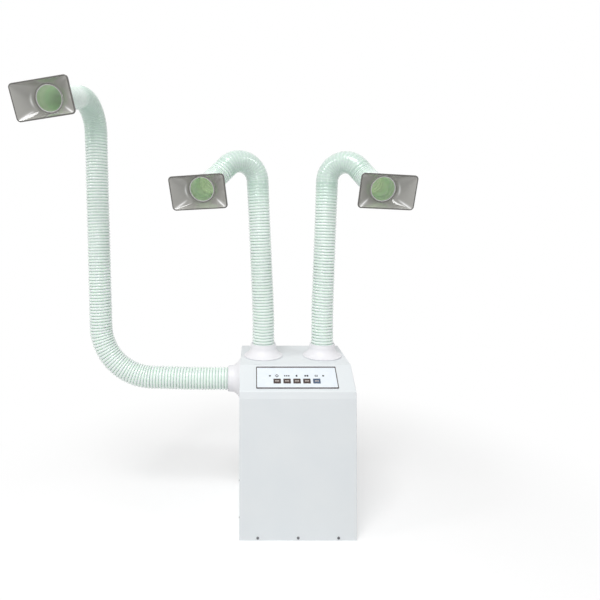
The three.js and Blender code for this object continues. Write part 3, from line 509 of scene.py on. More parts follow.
def board():
    """Green solder mask over faint tracks."""
    finish = Finish("board", coat=0.3)
    lengthwise = add_node(finish.tree, "Mapping", {"Vector": finish.place, "Scale": (6.0, 1.0, 1.0)})
    tracks = finish.noise(60, detail=0.0, place=lengthwise)
    finish.colour(finish.ramp(tracks, [(0.45, (38, 92, 62)), (0.52, (52, 118, 78))]))
    finish.roughness(finish.noise(300), 0.4, 0.55)
    finish.bump(tracks, 0.00005)
    return finish.material


def granular(name, scale, stops, rough, depth, specular):
    """Pores or granules, as tone and relief."""
    finish = Finish(name, specular=specular)
    cells = finish.cells(scale)
    finish.colour(finish.ramp(cells, stops))
    finish.roughness(cells, *rough)
    finish.bump(cells, depth)
    return finish.material


FINISHES = {name: mottled(name, *values) for name, values in MOTTLED.items()}
FINISHES.update({
    "mint_hose": mint_hose(),
    "hose_bore": hose_bore(),
    "smoke_hood": smoke_hood(),
    "zinc_sheet": zinc_sheet(),
    "board": board(),
    "foam": granular("foam", 260, FOAM_TONES, (0.85, 0.98), 0.0012, 0.2),
    "carbon": granular("carbon", 220, CARBON_TONES, (0.55, 0.95), 0.001, 0.3),
})


# Mesh helpers

def loft(rings, loop=False):
    """Closed body through rings with equal point counts: capped at both ends, or joined end to start."""
    sides = len(rings[0])
    points = [point for ring in rings for point in ring]
    faces = []
    spans = len(rings) if loop else len(rings) - 1
    for i in range(spans):
        here = i * sides
        ahead = ((i + 1) % len(rings)) * sides
        for side in range(sides):
            other = (side + 1) % sides
            faces.append((here + side, here + other, ahead + other, ahead + side))
    if not loop:
        faces.append(tuple(reversed(range(sides))))
        faces.append(tuple(range(len(points) - sides, len(points))))
    return points, faces


def circle(radius, z, sides=TURNED_SIDES):
    turns = [2 * math.pi * i / sides for i in range(sides)]
    return [Vector((radius * math.cos(turn), radius * math.sin(turn), z)) for turn in turns]


def turned(profile, sides=TURNED_SIDES, loop=True):
    """A profile of (radius, height) points turned round the Z axis."""
    return loft([circle(radius, z, sides) for radius, z in profile], loop)


def filleted(corners, steps=5):
    """Closed outline whose corners, given as (x, y, fillet radius), are rounded by arcs."""
    outline = []
    count = len(corners)
    for i, (x, y, fillet) in enumerate(corners):
        here = Vector((x, y))
        if fillet == 0:
            outline.append(here)
            continue
        before = Vector(corners[i - 1][:2]) - here
        after = Vector(corners[(i + 1) % count][:2]) - here
        opening = before.angle(after)
        trim = fillet / math.tan(opening / 2)
        start = here + before.normalized() * trim
        end = here + after.normalized() * trim
        middle = (before.normalized() + after.normalized()).normalized()
        centre = here + middle * fillet / math.sin(opening / 2)
        first, last = start - centre, end - centre
        sweep = math.atan2(first.x * last.y - first.y * last.x, first.dot(last))
        for step in range(steps + 1):
            turn = Matrix.Rotation(sweep * step / steps, 2)
            outline.append(centre + turn @ first)
    return outline


def rectangle(width, height, corner, x=0.0, y=0.0, steps=6):
    corners = [(x + i * width / 2, y + j * height / 2, corner) for i, j in CORNER_SIGNS]
    return filleted(corners, steps)


def raised(outline, z):
    return [Vector((point.x, point.y, z)) for point in outline]


def prism(outline, low, high, bevel=0.0):
    """A flat plate with the given outline, and a chamfer on its upper edge where a bevel is given."""
    centre = sum(outline, Vector((0, 0))) / len(outline)
    rings = [raised(outline, low), raised(outline, high - bevel)]
    if bevel > 0:
        reach = max((p - centre).length for p in outline)
        rings.append(raised([centre + (p - centre) * (1 - bevel / reach) for p in outline], high))
    return loft(rings)


def joined(shapes):
    points, faces = [], []
    for some_points, some_faces in shapes:
        first = len(points)
        points += some_points
        faces += [tuple(first + i for i in face) for face in some_faces]
    return points, faces


def add_object(name, data):
    obj = bpy.data.objects.new(name, data)
    bpy.context.collection.objects.link(obj)
    return obj


def mesh_object(name, shape, place=Matrix.Identity(4), smooth=True):
    points, faces = shape
    mesh = bpy.data.meshes.new(name)
    mesh.from_pydata([place @ point for point in points], [], faces)
    work = bmesh.new()
    work.from_mesh(mesh)
    bmesh.ops.remove_doubles(work, verts=work.verts, dist=MERGE_DISTANCE)
    bmesh.ops.recalc_face_normals(work, faces=work.faces)
    work.to_mesh(mesh)
    work.free()
    if smooth:
        mesh.shade_smooth()
        mesh.set_sharp_from_angle(angle=SMOOTH_ANGLE)
    return add_object(name, mesh)


def settle(obj):
    """Replaces an object's mesh by the shape that its modifiers give."""
    graph = bpy.context.evaluated_depsgraph_get()
    obj.data = bpy.data.meshes.new_from_object(obj.evaluated_get(graph))
    obj.modifiers.clear()
    obj.data.shade_smooth()
    obj.data.set_sharp_from_angle(angle=SMOOTH_ANGLE)


def combine(obj, operation, shape, place):
    """Joins a shape to a piece, "UNION", or cuts it away, "DIFFERENCE"."""
    other = mesh_object("other", shape, place, smooth=False)
    modifier = obj.modifiers.new("combine", "BOOLEAN")
    modifier.operation = operation
    modifier.solver = "EXACT"
    modifier.object = other
    settle(obj)
    bpy.data.objects.remove(other)


def finished(obj, slot, *finishes):
    """Gives a piece its finishes, by default the finish named by its slot."""
    obj.data.materials.clear()
    for finish in finishes or [slot]:
        obj.data.materials.append(FINISHES[finish])
    return obj


def set_values(obj, name, values):
    """Gives each point of a piece a number that its finishes can read by name."""
    obj.data.attributes.new(name, "FLOAT", "POINT").data.foreach_set("value", values)


def carried(obj, body, *nodes):
    """Makes a piece ride on a body and stand for the named nodes."""
    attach(obj, body)
    if nodes:
        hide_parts(*nodes)
    return obj


def along(point, axis):
    """Matrix that puts a shape made along +Z at a point, pointing along an axis."""
    turn = Vector((0, 0, 1)).rotation_difference(Vector(axis))
    return Matrix.Translation(point) @ turn.to_matrix().to_4x4()


# Places on the control face: X across, Y up the slope, Z out of it
SLOPE_TILT = math.atan2(SLOPE_RISE, SLOPE_SETBACK)
SLOPE = Matrix.Translation((0, FRONT_Y, TOP_Z - SLOPE_RISE)) @ Matrix.Rotation(SLOPE_TILT, 4, "X")
FASCIA_TOP = CLEARANCE + FASCIA_THICKNESS
KEY_CENTRES = [(i - (KEY_COUNT - 1) / 2) * KEY_SPACING for i in range(KEY_COUNT)]


# Cabinet

def add_shell():
    """Bent sheet cover with a narrow leaning band below the slope, open below and behind."""
    bend_z = TOP_Z - SLOPE_RISE
    profile = [
        (FRONT_Y, SHELL_LOW.z),
        (REAR_Y, SHELL_LOW.z),
        (REAR_Y, TOP_Z),
        (FRONT_Y + SLOPE_SETBACK, TOP_Z),
        (FRONT_Y + BAND_LEAN, bend_z + BAND_LEAN * math.tan(SLOPE_TILT)),
        (FRONT_Y, bend_z - BAND_HEIGHT),
    ]
    rings = [[Vector((x, y, z)) for y, z in profile] for x in (-HALF_WIDTH, HALF_WIDTH)]
    shell = mesh_object("shell", loft(rings), smooth=False)
    work = bmesh.new()
    work.from_mesh(shell.data)

    def open_side(face):
        return face.normal.z < -FACING or face.normal.y > FACING

    def band_foot(edge):
        return all(abs(v.co.z - profile[-1][1]) < LEVEL_ERROR for v in edge.verts)

    bends = [e for e in work.edges if not any(open_side(f) for f in e.link_faces) and not band_foot(e)]
    bmesh.ops.bevel(work, geom=bends, offset=BEND_RADIUS, segments=BEND_STEPS, profile=0.5,
                    affect="EDGES")
    bmesh.ops.delete(work, geom=[f for f in work.faces if open_side(f)], context="FACES")
    work.to_mesh(shell.data)
    work.free()
    sheet = shell.modifiers.new("sheet", "SOLIDIFY")
    sheet.thickness = SHEET
    sheet.offset = -1
    settle(shell)
    hole_radius = SPIGOT_RADIUS + CLEARANCE
    hole = turned([(hole_radius, -CUT_MARGIN), (hole_radius, CUT_MARGIN)], loop=False)
    for arm in ARMS:
        combine(shell, "DIFFERENCE", hole, along(Vector(arm["seat"]), arm["axis"]))
    half_row = (KEY_COUNT - 1) / 2 * KEY_SPACING + KEY_WIDTH / 2 + 2 * KEY_SKIRT
    half_key = KEY_HEIGHT / 2 + 2 * KEY_SKIRT
    window = rectangle(2 * half_row, 2 * half_key, 0, 0, KEY_ROW)
    combine(shell, "DIFFERENCE", prism(window, -CUT_MARGIN, CUT_MARGIN), SLOPE)
    shell.data.set_sharp_from_angle(angle=SHEET_SMOOTH_ANGLE)
    carried(finished(shell, "painted_sheet"), "cabinet", "cabinet_shell")


def dome(radius, foot, height):
    """Rounded top as (radius, height) points, with a narrow flat crown."""
    turns = [math.pi / 2 * i / DOME_STEPS for i in range(DOME_STEPS)]
    points = [(radius * math.cos(turn), foot + height * math.sin(turn)) for turn in turns]
    return [*points, (CROWN_RADIUS, foot + height)]


def add_screw(node, axis, slot):
    """Pan-head screw with a cross recess, in the place of its node."""
    low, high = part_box(node)
    top = SCREW_LENGTH + SCREW_HEAD_HEIGHT
    place = along((low + high) / 2 - Vector(axis) * top / 2, axis)
    head = dome(SCREW_HEAD_RADIUS, SCREW_LENGTH, SCREW_HEAD_HEIGHT)
    profile = [(SCREW_RADIUS, 0.0), (SCREW_RADIUS, SCREW_LENGTH), *head]
    screw = mesh_object(node + "_head", turned(profile, SCREW_SIDES, loop=False), place)
    for width, height in ((RECESS_LENGTH, RECESS_WIDTH), (RECESS_WIDTH, RECESS_LENGTH)):
        slit = prism(rectangle(width, height, 0), top - RECESS_DEPTH, top + CUT_MARGIN)
        combine(screw, "DIFFERENCE", slit, place)
    carried(finished(screw, slot), "cabinet", node)


def add_screws():
    for i in (1, 2, 3):
        add_screw(f"front_screw_{i}", (0, -1, 0), "dark_screw")
    for i in (1, 2):
        add_screw(f"side_screw_{i}", (-1, 0, 0), "bright_screw")
        add_screw(f"rear_screw_{i}", (0, 1, 0), "bright_screw")


def add_louvre_lips():
    """Pressed hoods over the outlet slots, open downwards and closed off at both ends."""
    turns = [math.pi / 2 * i / DOME_STEPS for i in range(DOME_STEPS + 1)]
    outer = [(LIP_PROUD * math.sin(t), LIP_HEIGHT * math.cos(t)) for t in turns]
    inner = [(max(y - LIP_THICKNESS, 0), z - LIP_THICKNESS) for y, z in reversed(outer)]
    ends = [(-LIP_HALF_WIDTH + inset, share) for inset, share in LIP_ENDS]
    stations = ends + [(-x, share) for x, share in reversed(ends)]
    rings = [[Vector((x, y * share, z)) for y, z in outer + inner] for x, share in stations]
    shapes = []
    for i in range(LOUVRE_COUNT):
        offset = Vector((LOUVRE_CENTRE_X, REAR_Y, LOUVRE_FIRST_Z + i * LOUVRE_PITCH - LIP_DROP))
        shapes.append(loft([[point + offset for point in ring] for ring in rings]))
    lips = mesh_object("louvre_lips", joined(shapes))
    carried(finished(lips, "painted_sheet"), "cabinet")


def add_power_inlet():
    """Mains socket: a rounded rim, a deep cavity and three pins."""
    low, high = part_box("power_inlet")
    centre = Vector(((low.x + high.x) / 2, high.y, (low.z + high.z) / 2))
    place = Matrix.Translation(centre) @ Matrix.Rotation(-math.pi / 2, 4, "X")
    rim = rectangle(SOCKET_WIDTH + 2 * SOCKET_RIM, SOCKET_HEIGHT + 2 * SOCKET_RIM, RIM_CORNER)
    barrel = rectangle(SOCKET_WIDTH, SOCKET_HEIGHT, BARREL_CORNER)
    half_width = SOCKET_WIDTH / 2 - SOCKET_WALL
    half_height = SOCKET_HEIGHT / 2 - SOCKET_WALL
    cavity = filleted([
        (-half_width, -half_height, CAVITY_CORNER),
        (half_width, -half_height, CAVITY_CORNER),
        (half_width, half_height, CAVITY_SHOULDER),
        (-half_width, half_height, CAVITY_SHOULDER),
    ])
    inlet = mesh_object("mains_inlet", prism(rim, -SOCKET_RIM_THICKNESS, 0, RIM_BEVEL), place)
    combine(inlet, "UNION", prism(barrel, -SOCKET_DEPTH, -SOCKET_RIM_THICKNESS / 2), place)
    combine(inlet, "DIFFERENCE", prism(cavity, -SOCKET_CAVITY, CUT_MARGIN), place)
    carried(finished(inlet, "black_plastic"), "cabinet", "power_inlet")
    pins = []
    for i, side in ((-1, 1), (0, -1), (1, 1)):
        x, y = i * PIN_SPACING, side * PIN_HEIGHT / 2
        outline = rectangle(PIN_WIDTH, PIN_HEIGHT, PIN_CORNER, x, y, SMALL_CORNER_STEPS)
        pins.append(prism(outline, -SOCKET_CAVITY - PIN_ROOT, PIN_LENGTH - SOCKET_CAVITY, PIN_CORNER))
    pin_set = mesh_object("inlet_pins", joined(pins), place)
    carried(finished(pin_set, "bright_screw"), "cabinet")


# Control face

def ink_stroke(outer, inner):
    """Flat printed stroke between two outlines with equal point counts."""
    low = FASCIA_TOP - INK_HEIGHT
    high = FASCIA_TOP + INK_HEIGHT
    levels = [(inner, low), (outer, low), (outer, high), (inner, high)]
    return loft([raised(outline, z) for outline, z in levels], loop=True)


def add_fascia():
    """Label plate with windows for the keys, and its printed border."""
    outline = rectangle(FASCIA_WIDTH, FASCIA_HEIGHT, FASCIA_CORNER, 0, FASCIA_CENTRE)
    fascia = mesh_object("fascia", prism(outline, CLEARANCE, FASCIA_TOP, CLEARANCE), SLOPE)
    for x in KEY_CENTRES:
        window = rectangle(KEY_WIDTH + 2 * CLEARANCE, KEY_HEIGHT + 2 * CLEARANCE, KEY_CORNER, x, KEY_ROW)
        combine(fascia, "DIFFERENCE", prism(window, -CUT_MARGIN, CUT_MARGIN), SLOPE)
    carried(finished(fascia, "label_film"), "cabinet", "control_fascia")

    def border_edge(side, bar, corner):
        return rectangle(FASCIA_WIDTH - 2 * side, FASCIA_HEIGHT - 2 * bar, corner, 0, FASCIA_CENTRE)

    outer = border_edge(CLEARANCE, CLEARANCE, FASCIA_CORNER)
    inner = border_edge(BORDER_SIDE, BORDER_BAR, FASCIA_CORNER / 2)
    border = mesh_object("fascia_border", ink_stroke(outer, inner), SLOPE)
    carried(finished(border, "label_film", "border_ink"), "cabinet")


def add_key(index, x):
    """Key cap with a skirt, rounded shoulders and a slightly dished top, and its mark of three bars."""
    rings = []
    for grow, z in KEY_LEVELS:
        corner = max(KEY_CORNER + grow, KEY_LEAST_CORNER)
        outline = rectangle(KEY_WIDTH + 2 * grow, KEY_HEIGHT + 2 * grow, corner, x, KEY_ROW)
        rings.append(raised(outline, z))
    slot = "blue_key" if index == KEY_COUNT else "brown_key"
    cap = mesh_object(f"key_cap_{index}", loft(rings), SLOPE)
    carried(finished(cap, slot), f"key_{index}_cap", f"key_{index}")

    dish = KEY_TOP - KEY_DISH
    bars = []
    for i in (-1, 0, 1):
        bar_x = x + i * MARK_SPACING
        outline = rectangle(MARK_WIDTH, MARK_LENGTH, MARK_CORNER, bar_x, KEY_ROW, SMALL_CORNER_STEPS)
        bars.append(prism(outline, dish - MARK_HEIGHT, dish + MARK_HEIGHT))
    mark = mesh_object(f"key_mark_{index}", joined(bars), SLOPE)
    carried(finished(mark, slot, "key_mark"), f"key_{index}_cap")


def icon_dots(x, count, spacing, width, height):
    """A row of rounded dots centred above a key."""
    dots = []
    for i in range(count):
        dot_x = x + (i - (count - 1) / 2) * spacing
        outline = rectangle(width, height, width * DOT_ROUNDING, dot_x, LENS_ROW, DOT_CORNER_STEPS)
        dots.append(prism(outline, FASCIA_TOP - INK_HEIGHT, FASCIA_TOP + INK_HEIGHT))
    return dots


def icon_ring(x, corners, width):
    """An outline of straight strokes round a centre above a key."""
    outer = filleted([(x + i, LENS_ROW + j, ICON_CORNER) for i, j in corners])
    scale = 1 - 2 * ICON_STROKE / width
    inner = [Vector((x + (p.x - x) * scale, LENS_ROW + (p.y - LENS_ROW) * scale)) for p in outer]
    return ink_stroke(outer, inner)


def add_icons():
    """Generic marks above the keys: a diamond, three dots, one dot, two dots and a box."""
    half = DIAMOND_WIDTH / 2
    diamond = [(0, -half), (half, 0), (0, half), (-half, 0)]
    box = [(i * BOX_WIDTH / 2, j * BOX_HEIGHT / 2) for i, j in CORNER_SIGNS]
    shapes = [icon_ring(KEY_CENTRES[0], diamond, DIAMOND_WIDTH / math.sqrt(2))]
    for x, dots in zip(KEY_CENTRES[1:-1], ICON_DOTS):
        shapes += icon_dots(x, *dots)
    shapes.append(icon_ring(KEY_CENTRES[-1], box, BOX_WIDTH))
    icons = mesh_object("fascia_icons", joined(shapes), SLOPE)
    carried(finished(icons, "label_film", "icon_ink"), "cabinet")


def add_lenses():
    profile = [(LENS_RADIUS, CLEARANCE), *dome(LENS_RADIUS, FASCIA_TOP, LENS_PROUD)]
    for name, x in (("status_lens", -LENS_SPACING / 2), ("fault_lens", LENS_SPACING / 2)):
        place = SLOPE @ Matrix.Translation((x, LENS_ROW, 0))
        lens = mesh_object(name + "_dome", turned(profile, SCREW_SIDES, loop=False), place)
        carried(finished(lens, "lens"), "cabinet", name)


# Arms

class HoseRoute:
    """Centreline of straight stretches joined by arcs, with a frame carried along without twist."""

    def __init__(self, points, radii, bend_ribs, end_soak_and_shade):
        self.end_soak_and_shade = end_soak_and_shade
        self.stretches = []
        self.arcs = []
        self.length = 0.0
        start = points[0]
        heading = (points[1] - points[0]).normalized()
        upright = abs(heading.z) > math.sqrt(0.5)
        side = Vector((1, 0, 0)) if upright else Vector((0, 0, 1))
        for i, radius in enumerate(radii, start=1):
            ahead = (points[i + 1] - points[i]).normalized()
            turn = heading.angle(ahead)
            trim = radius * math.tan(turn / 2)
            end = points[i] - heading * trim
            self.extend(start, heading, side, (end - start).length)
            axis = heading.cross(ahead).normalized()
            self.arcs.append((self.length, self.length + radius * turn, bend_ribs[i - 1]))
            centre = end + axis.cross(heading) * radius
            self.extend(end, heading, side, radius * turn, axis, centre, radius)
            start = points[i] + ahead * trim
            side = Matrix.Rotation(turn, 3, axis) @ side
            heading = ahead
        self.extend(start, heading, side, (points[-1] - start).length)

    def extend(self, start, heading, side, length, axis=None, centre=None, radius=None):
        self.stretches.append((self.length, start, heading, side, axis, centre, radius))
        self.length += length

    def at(self, distance):
        """Point, heading and side vector at a distance along the hose."""
        before = [stretch for stretch in self.stretches if stretch[0] <= distance] or self.stretches[:1]
        first, start, heading, side, axis, centre, radius = before[-1]
        if axis is None:
            return start + heading * (distance - first), heading, side
        turn = Matrix.Rotation((distance - first) / radius, 3, axis)
        return centre + turn @ (start - centre), turn @ heading, turn @ side

    def ring(self, distance, radius):
        point, heading, side = self.at(distance)
        across = heading.cross(side)
        turns = [2 * math.pi * i / HOSE_SIDES for i in range(HOSE_SIDES)]
        return [point + (side * math.cos(turn) + across * math.sin(turn)) * radius for turn in turns]


def rib_depth(route, distance):
    """Share of the full rib depth: the ribs stretch flat in the tight bends and at the hood's end."""
    depth = max((route.length - distance) / -END_CUFF_LOW, 0.0)
    for first, last, bend_depth in route.arcs:
        before = max(first - distance, 0.0) / RIB_FADE_BEFORE
        after = max(distance - last, 0.0) / RIB_FADE_AFTER
        depth = min(depth, bend_depth + before + after, 1.0)
    return depth


def rib_shade_tone(route, distance, height):
    """Ramp place: 0 where stretched flat, then from groove, painted shade, to crest, painted highlight."""
    return (GROOVE_SHADE_TONE + (1 - GROOVE_SHADE_TONE) * height) * rib_depth(route, distance)


def soak_share(route, distance):
    """Light that soaks into the bore: none where the end cuff covers the hose, and rising beyond it."""
    bare = min(max((route.length - distance + END_CUFF_LOW) / SOAK_FADE, 0.0), 1.0)
    # The arm's end soak is set lower on the side arm, as painted shade in its bore
    return bare * route.end_soak_and_shade


def rib_stations(profile, first_rib, last_rib, pitch):
    """Distances along the hose from one groove to another, each with the rib's height there."""
    ribs = range(first_rib, last_rib)
    stations = [((rib + share) * pitch, height) for rib in ribs for share, height in profile]
    return [*stations, (last_rib * pitch, 0.0)]


def rib_ring(route, distance, height, groove, crest):
    lifted = 1 - (1 - height) * rib_depth(route, distance)
    return route.ring(distance, groove + (crest - groove) * lifted)


def add_hose_length(name, route, first_rib, last_rib, pitch):
    """Ribbed tube from one groove to another, with the rib's tone and the light soak at each point."""
    outside = rib_stations(RIB_OUTSIDE, first_rib, last_rib, pitch)
    inside = rib_stations(RIB_INSIDE, first_rib, last_rib, pitch)[::-1]
    rings = [rib_ring(route, *station, HOSE_GROOVE, HOSE_CREST) for station in outside]
    rings += [rib_ring(route, *station, BORE_GROOVE, BORE_CREST) for station in inside]
    piece = mesh_object(name, loft(rings, loop=True))
    finished(piece, "mint_hose", "mint_hose", "hose_bore")
    points = [station for station in outside + inside for _ in range(HOSE_SIDES)]
    # Painted shade in the grooves and painted highlight on the crests, read by the hose's colour ramp
    set_values(piece, "rib", [rib_shade_tone(route, *point) for point in points])
    set_values(piece, "soak", [soak_share(route, distance) for distance, _ in points])
    bore_from = len(outside) * HOSE_SIDES
    for face in piece.data.polygons:
        if max(face.vertices) >= bore_from:
            face.material_index = 1
    return piece


def blend_hose(piece, route, first_rib, last_rib, pitch):
    """Bakes a hose length's place into its mesh, leaving it on no body."""
    first_ring = route.ring(first_rib * pitch, HOSE_CREST)
    last_ring = route.ring(last_rib * pitch, HOSE_CREST)
    base = route.at(first_rib * pitch)[0]
    chord = (route.at(last_rib * pitch)[0] - base).normalized()
    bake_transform(piece)


def add_hose(arm, route):
    """Five lengths that meet in grooves: the runs ride on their bodies, and the bends stay fixed in place.
    """
    name = arm["name"]
    ribs = round(route.length / RIB_PITCH)
    pitch = route.length / ribs
    _, (bend_1_from, bend_1_to, _), (bend_2_from, bend_2_to, _) = route.arcs
    seams = [0, *(round(s / pitch) for s in (bend_1_from, bend_1_to, bend_2_from, bend_2_to)), ribs]
    bodies = [f"{name}_arm_base", f"{name}_arm_reach", f"{name}_arm_tip"]
    parts = ["run_1", "bend_1", "run_2", "bend_2", "run_3"]
    for i, part in enumerate(parts):
        piece = add_hose_length(f"{name}_ribbed_{part}", route, seams[i], seams[i + 1], pitch)
        if i % 2 == 0:
            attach(piece, bodies[i // 2])
        else:
            blend_hose(piece, route, seams[i], seams[i + 1], pitch)
        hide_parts(f"{name}_hose_{part}")


def flange_profile():
    """Bell flange with a rounded foot and a straight collar, as (radius, height) points."""
    low = CLEARANCE
    top = low + FLANGE_HEIGHT
    bell_foot = FLANGE_RADIUS - FLANGE_EDGE
    bell_rise = BELL_TOP - FLANGE_EDGE
    bell = []
    for i in range(BELL_STEPS + 1):
        share = i / BELL_STEPS
        radius = COLLAR_RADIUS + (bell_foot - COLLAR_RADIUS) * (1 - share) ** 2
        bell.append((radius, low + FLANGE_EDGE + bell_rise * share, 0))
    return filleted([
        (FLANGE_BORE, low - SPIGOT_LENGTH, 0),
        (SPIGOT_RADIUS, low - SPIGOT_LENGTH, 0),
        (SPIGOT_RADIUS, low, 0),
        (FLANGE_RADIUS, low, FLANGE_EDGE / 2),
        (FLANGE_RADIUS, low + FLANGE_EDGE, FLANGE_EDGE / 2),
        *bell,
        (COLLAR_RADIUS, top - COLLAR_EASE, 0),
        (COLLAR_RADIUS - COLLAR_EASE / 3, top - COLLAR_EASE / 3, 0),
        (COLLAR_RADIUS - COLLAR_EASE, top, 0),
        (COLLAR_BORE, top, 0),
        (COLLAR_BORE, low + FLANGE_LEDGE, 0),
        (FLANGE_BORE, low + FLANGE_LEDGE, 0),
    ])


def swivel_profile():
    """Sleeve that turns in the flange, with a stop for the hose and a lip above the collar."""
    return filleted([
        (FLANGE_BORE, SWIVEL_LOW, 0),
        (SWIVEL_RADIUS, SWIVEL_LOW, 0),
        (SWIVEL_RADIUS, SWIVEL_LIP_LOW, 0),
        (SWIVEL_LIP_RADIUS, SWIVEL_LIP_LOW, SWIVEL_LIP_FOOT),
        (SWIVEL_LIP_RADIUS, SWIVEL_LIP_HIGH, SWIVEL_LIP_ROUND),
        (CUFF_BORE, SWIVEL_LIP_HIGH, SWIVEL_MOUTH_ROUND),
        (CUFF_BORE, SWIVEL_LOW + CUFF_STOP, 0),
        (FLANGE_BORE, SWIVEL_LOW + CUFF_STOP, 0),
    ])


def end_cuff_profile():
    """Sleeve over the hose's end, with a lip below the hood's neck and a ring over the hose's edge."""
    lip_radius = END_CUFF_RADIUS + END_CUFF_LIP
    return filleted([
        (CUFF_BORE, END_CUFF_LOW, END_CUFF_EDGE),
        (lip_radius, END_CUFF_LOW, END_LIP_ROUND),
        (lip_radius, END_CUFF_LOW + END_CUFF_LIP, END_LIP_ROUND),
        (END_CUFF_RADIUS, END_CUFF_LOW + END_CUFF_LIP, 0),
        (END_CUFF_RADIUS, END_CUFF_FACE, END_FACE_ROUND),
        (END_RING_WHITE, END_CUFF_FACE, 0),
        (END_RING_BORE, END_CUFF_FACE, END_CUFF_EDGE),
        (END_RING_BORE, CLEARANCE, 0),
        (CUFF_BORE, CLEARANCE, 0),
    ])


def direction(angle):
    return Vector((math.cos(angle), math.sin(angle)))


def hood_ring(z, share, radius, inset):
    """Ring of the hood: a circle at share 0, the mouth's outline less an inset at share 1."""
    signs = [(1, 1), (-1, 1), (-1, -1), (1, -1)]
    corner = HOOD_CORNER - inset
    half_width = HOOD_WIDTH / 2 - HOOD_CORNER
    half_height = HOOD_HEIGHT / 2 - HOOD_CORNER
    centres = [Vector((x * half_width, y * half_height)) for x, y in signs]
    ring = []
    for quarter, centre in enumerate(centres):
        first = quarter * math.pi / 2
        last = first + math.pi / 2
        pairs = []
        for step in range(CORNER_STEPS + 1):
            t = step / CORNER_STEPS
            bow = first + t * math.pi / 2
            mouth = centre + corner * direction(bow)
            pairs.append((first + CORNER_FROM + t * (math.pi / 2 - 2 * CORNER_FROM), mouth))
        reach = corner * direction(last)
        next_centre = centres[(quarter + 1) % len(centres)]
        for step in range(1, FLAT_STEPS):
            t = step / FLAT_STEPS
            mouth = centre.lerp(next_centre, t) + reach
            pairs.append((last + CORNER_FROM * (2 * t - 1), mouth))
        for angle, mouth in pairs:
            neck = radius * direction(angle)
            ring.append(neck.lerp(mouth, share).to_3d() + Vector((0, 0, z)))
    return ring


def hood_painted_highlight(point, side):
    """Painted highlight at a point in a hood: along the two lower creases, and in a crescent by the neck.
    """
    reach = math.hypot(point.x, point.y)
    crease = Vector((math.copysign(HOOD_WIDTH, point.x), -HOOD_HEIGHT)).normalized()
    off_line = abs(crease.x * point.y - crease.y * point.x)
    along_line = crease.x * point.x + crease.y * point.y
    share = min(max((along_line - STREAK_START) / (STREAK_END - STREAK_START), 0), 1)
    streak = math.exp(-(off_line / STREAK_WIDTH) ** 2) * math.sin(math.pi * share)
    round_neck = math.exp(-((reach - CRESCENT_RADIUS) / CRESCENT_WIDTH) ** 2)
    beside = max(side * point.x / reach, 0.0) ** CRESCENT_FALL
    return min(streak + round_neck * beside, 1.0)


def add_hood(arm, place):
    """Funnel from a round neck to a rectangular mouth, with a rolled rim."""
    name = arm["name"]
    rim_low = HOOD_MOUTH - HOOD_RIM_THICKNESS
    flare_low = HOOD_THROAT - HOOD_WALL / 2
    shares = [i / FLARE_STEPS for i in range(FLARE_STEPS + 1)]
    outside = [(HOOD_NECK_LOW, 0.0)]
    outside += [(flare_low + (rim_low - flare_low) * t, t ** HOOD_FLARE) for t in shares]
    rim = [
        (rim_low, RIM_EASE / 2),
        (rim_low + RIM_EASE / 2, 0.0),
        (HOOD_MOUTH - RIM_EASE, 0.0),
        (HOOD_MOUTH, RIM_EASE),
    ]
    inside = [(HOOD_THROAT + (HOOD_MOUTH - HOOD_THROAT) * t, t ** HOOD_FLARE) for t in reversed(shares)]
    inside.append((HOOD_NECK_LOW, 0.0))
    rings = [hood_ring(z, share, HOOD_BORE + HOOD_WALL, HOOD_RIM) for z, share in outside]
    edge_first = len(rings) - 1
    rings += [hood_ring(z, 1.0, HOOD_BORE, inset) for z, inset in rim]
    edge_last = len(rings)
    rings += [hood_ring(z, share, HOOD_BORE, HOOD_RIM + HOOD_WALL) for z, share in inside]
    hood = mesh_object(f"{name}_hood_funnel", loft(rings, loop=True), place)
    finished(hood, "smoke_hood", "smoke_hood", "hood_edge")
    sides = len(rings[0])
    # The rim's faces take hood_edge, a dark edge of painted shade
    for face in hood.data.polygons:
        if min(face.vertices) >= edge_first * sides and max(face.vertices) < (edge_last + 1) * sides:
            face.material_index = 1
    # Painted highlights: white streaks along the lower creases and a white crescent by the neck
    inward = place.inverted()
    inside_from = edge_last * sides
    points = [inward @ vertex.co for vertex in hood.data.vertices[inside_from:]]
    painted_highlight = [0.0] * inside_from + [hood_painted_highlight(point, arm["crescent_side"]) for point in points]
    set_values(hood, "painted_highlight", painted_highlight)
    carried(hood, f"{name}_hood_head", f"{name}_hood")


def add_end_cuff(name, end):
    """Cuff on the hose's end. Beyond its narrow white ring the face has the hood's colour."""
    cuff = mesh_object(f"{name}_end_ring", turned(end_cuff_profile()), end)
    finished(cuff, "white_plastic", "white_plastic", "smoke_hood")
    inward = end.inverted()
    for face in cuff.data.polygons:
        middle = inward @ face.center
        if middle.z > CLEARANCE and math.hypot(middle.x, middle.y) > END_RING_WHITE:
            face.material_index = 1
    carried(cuff, f"{name}_arm_tip", f"{name}_end_cuff")


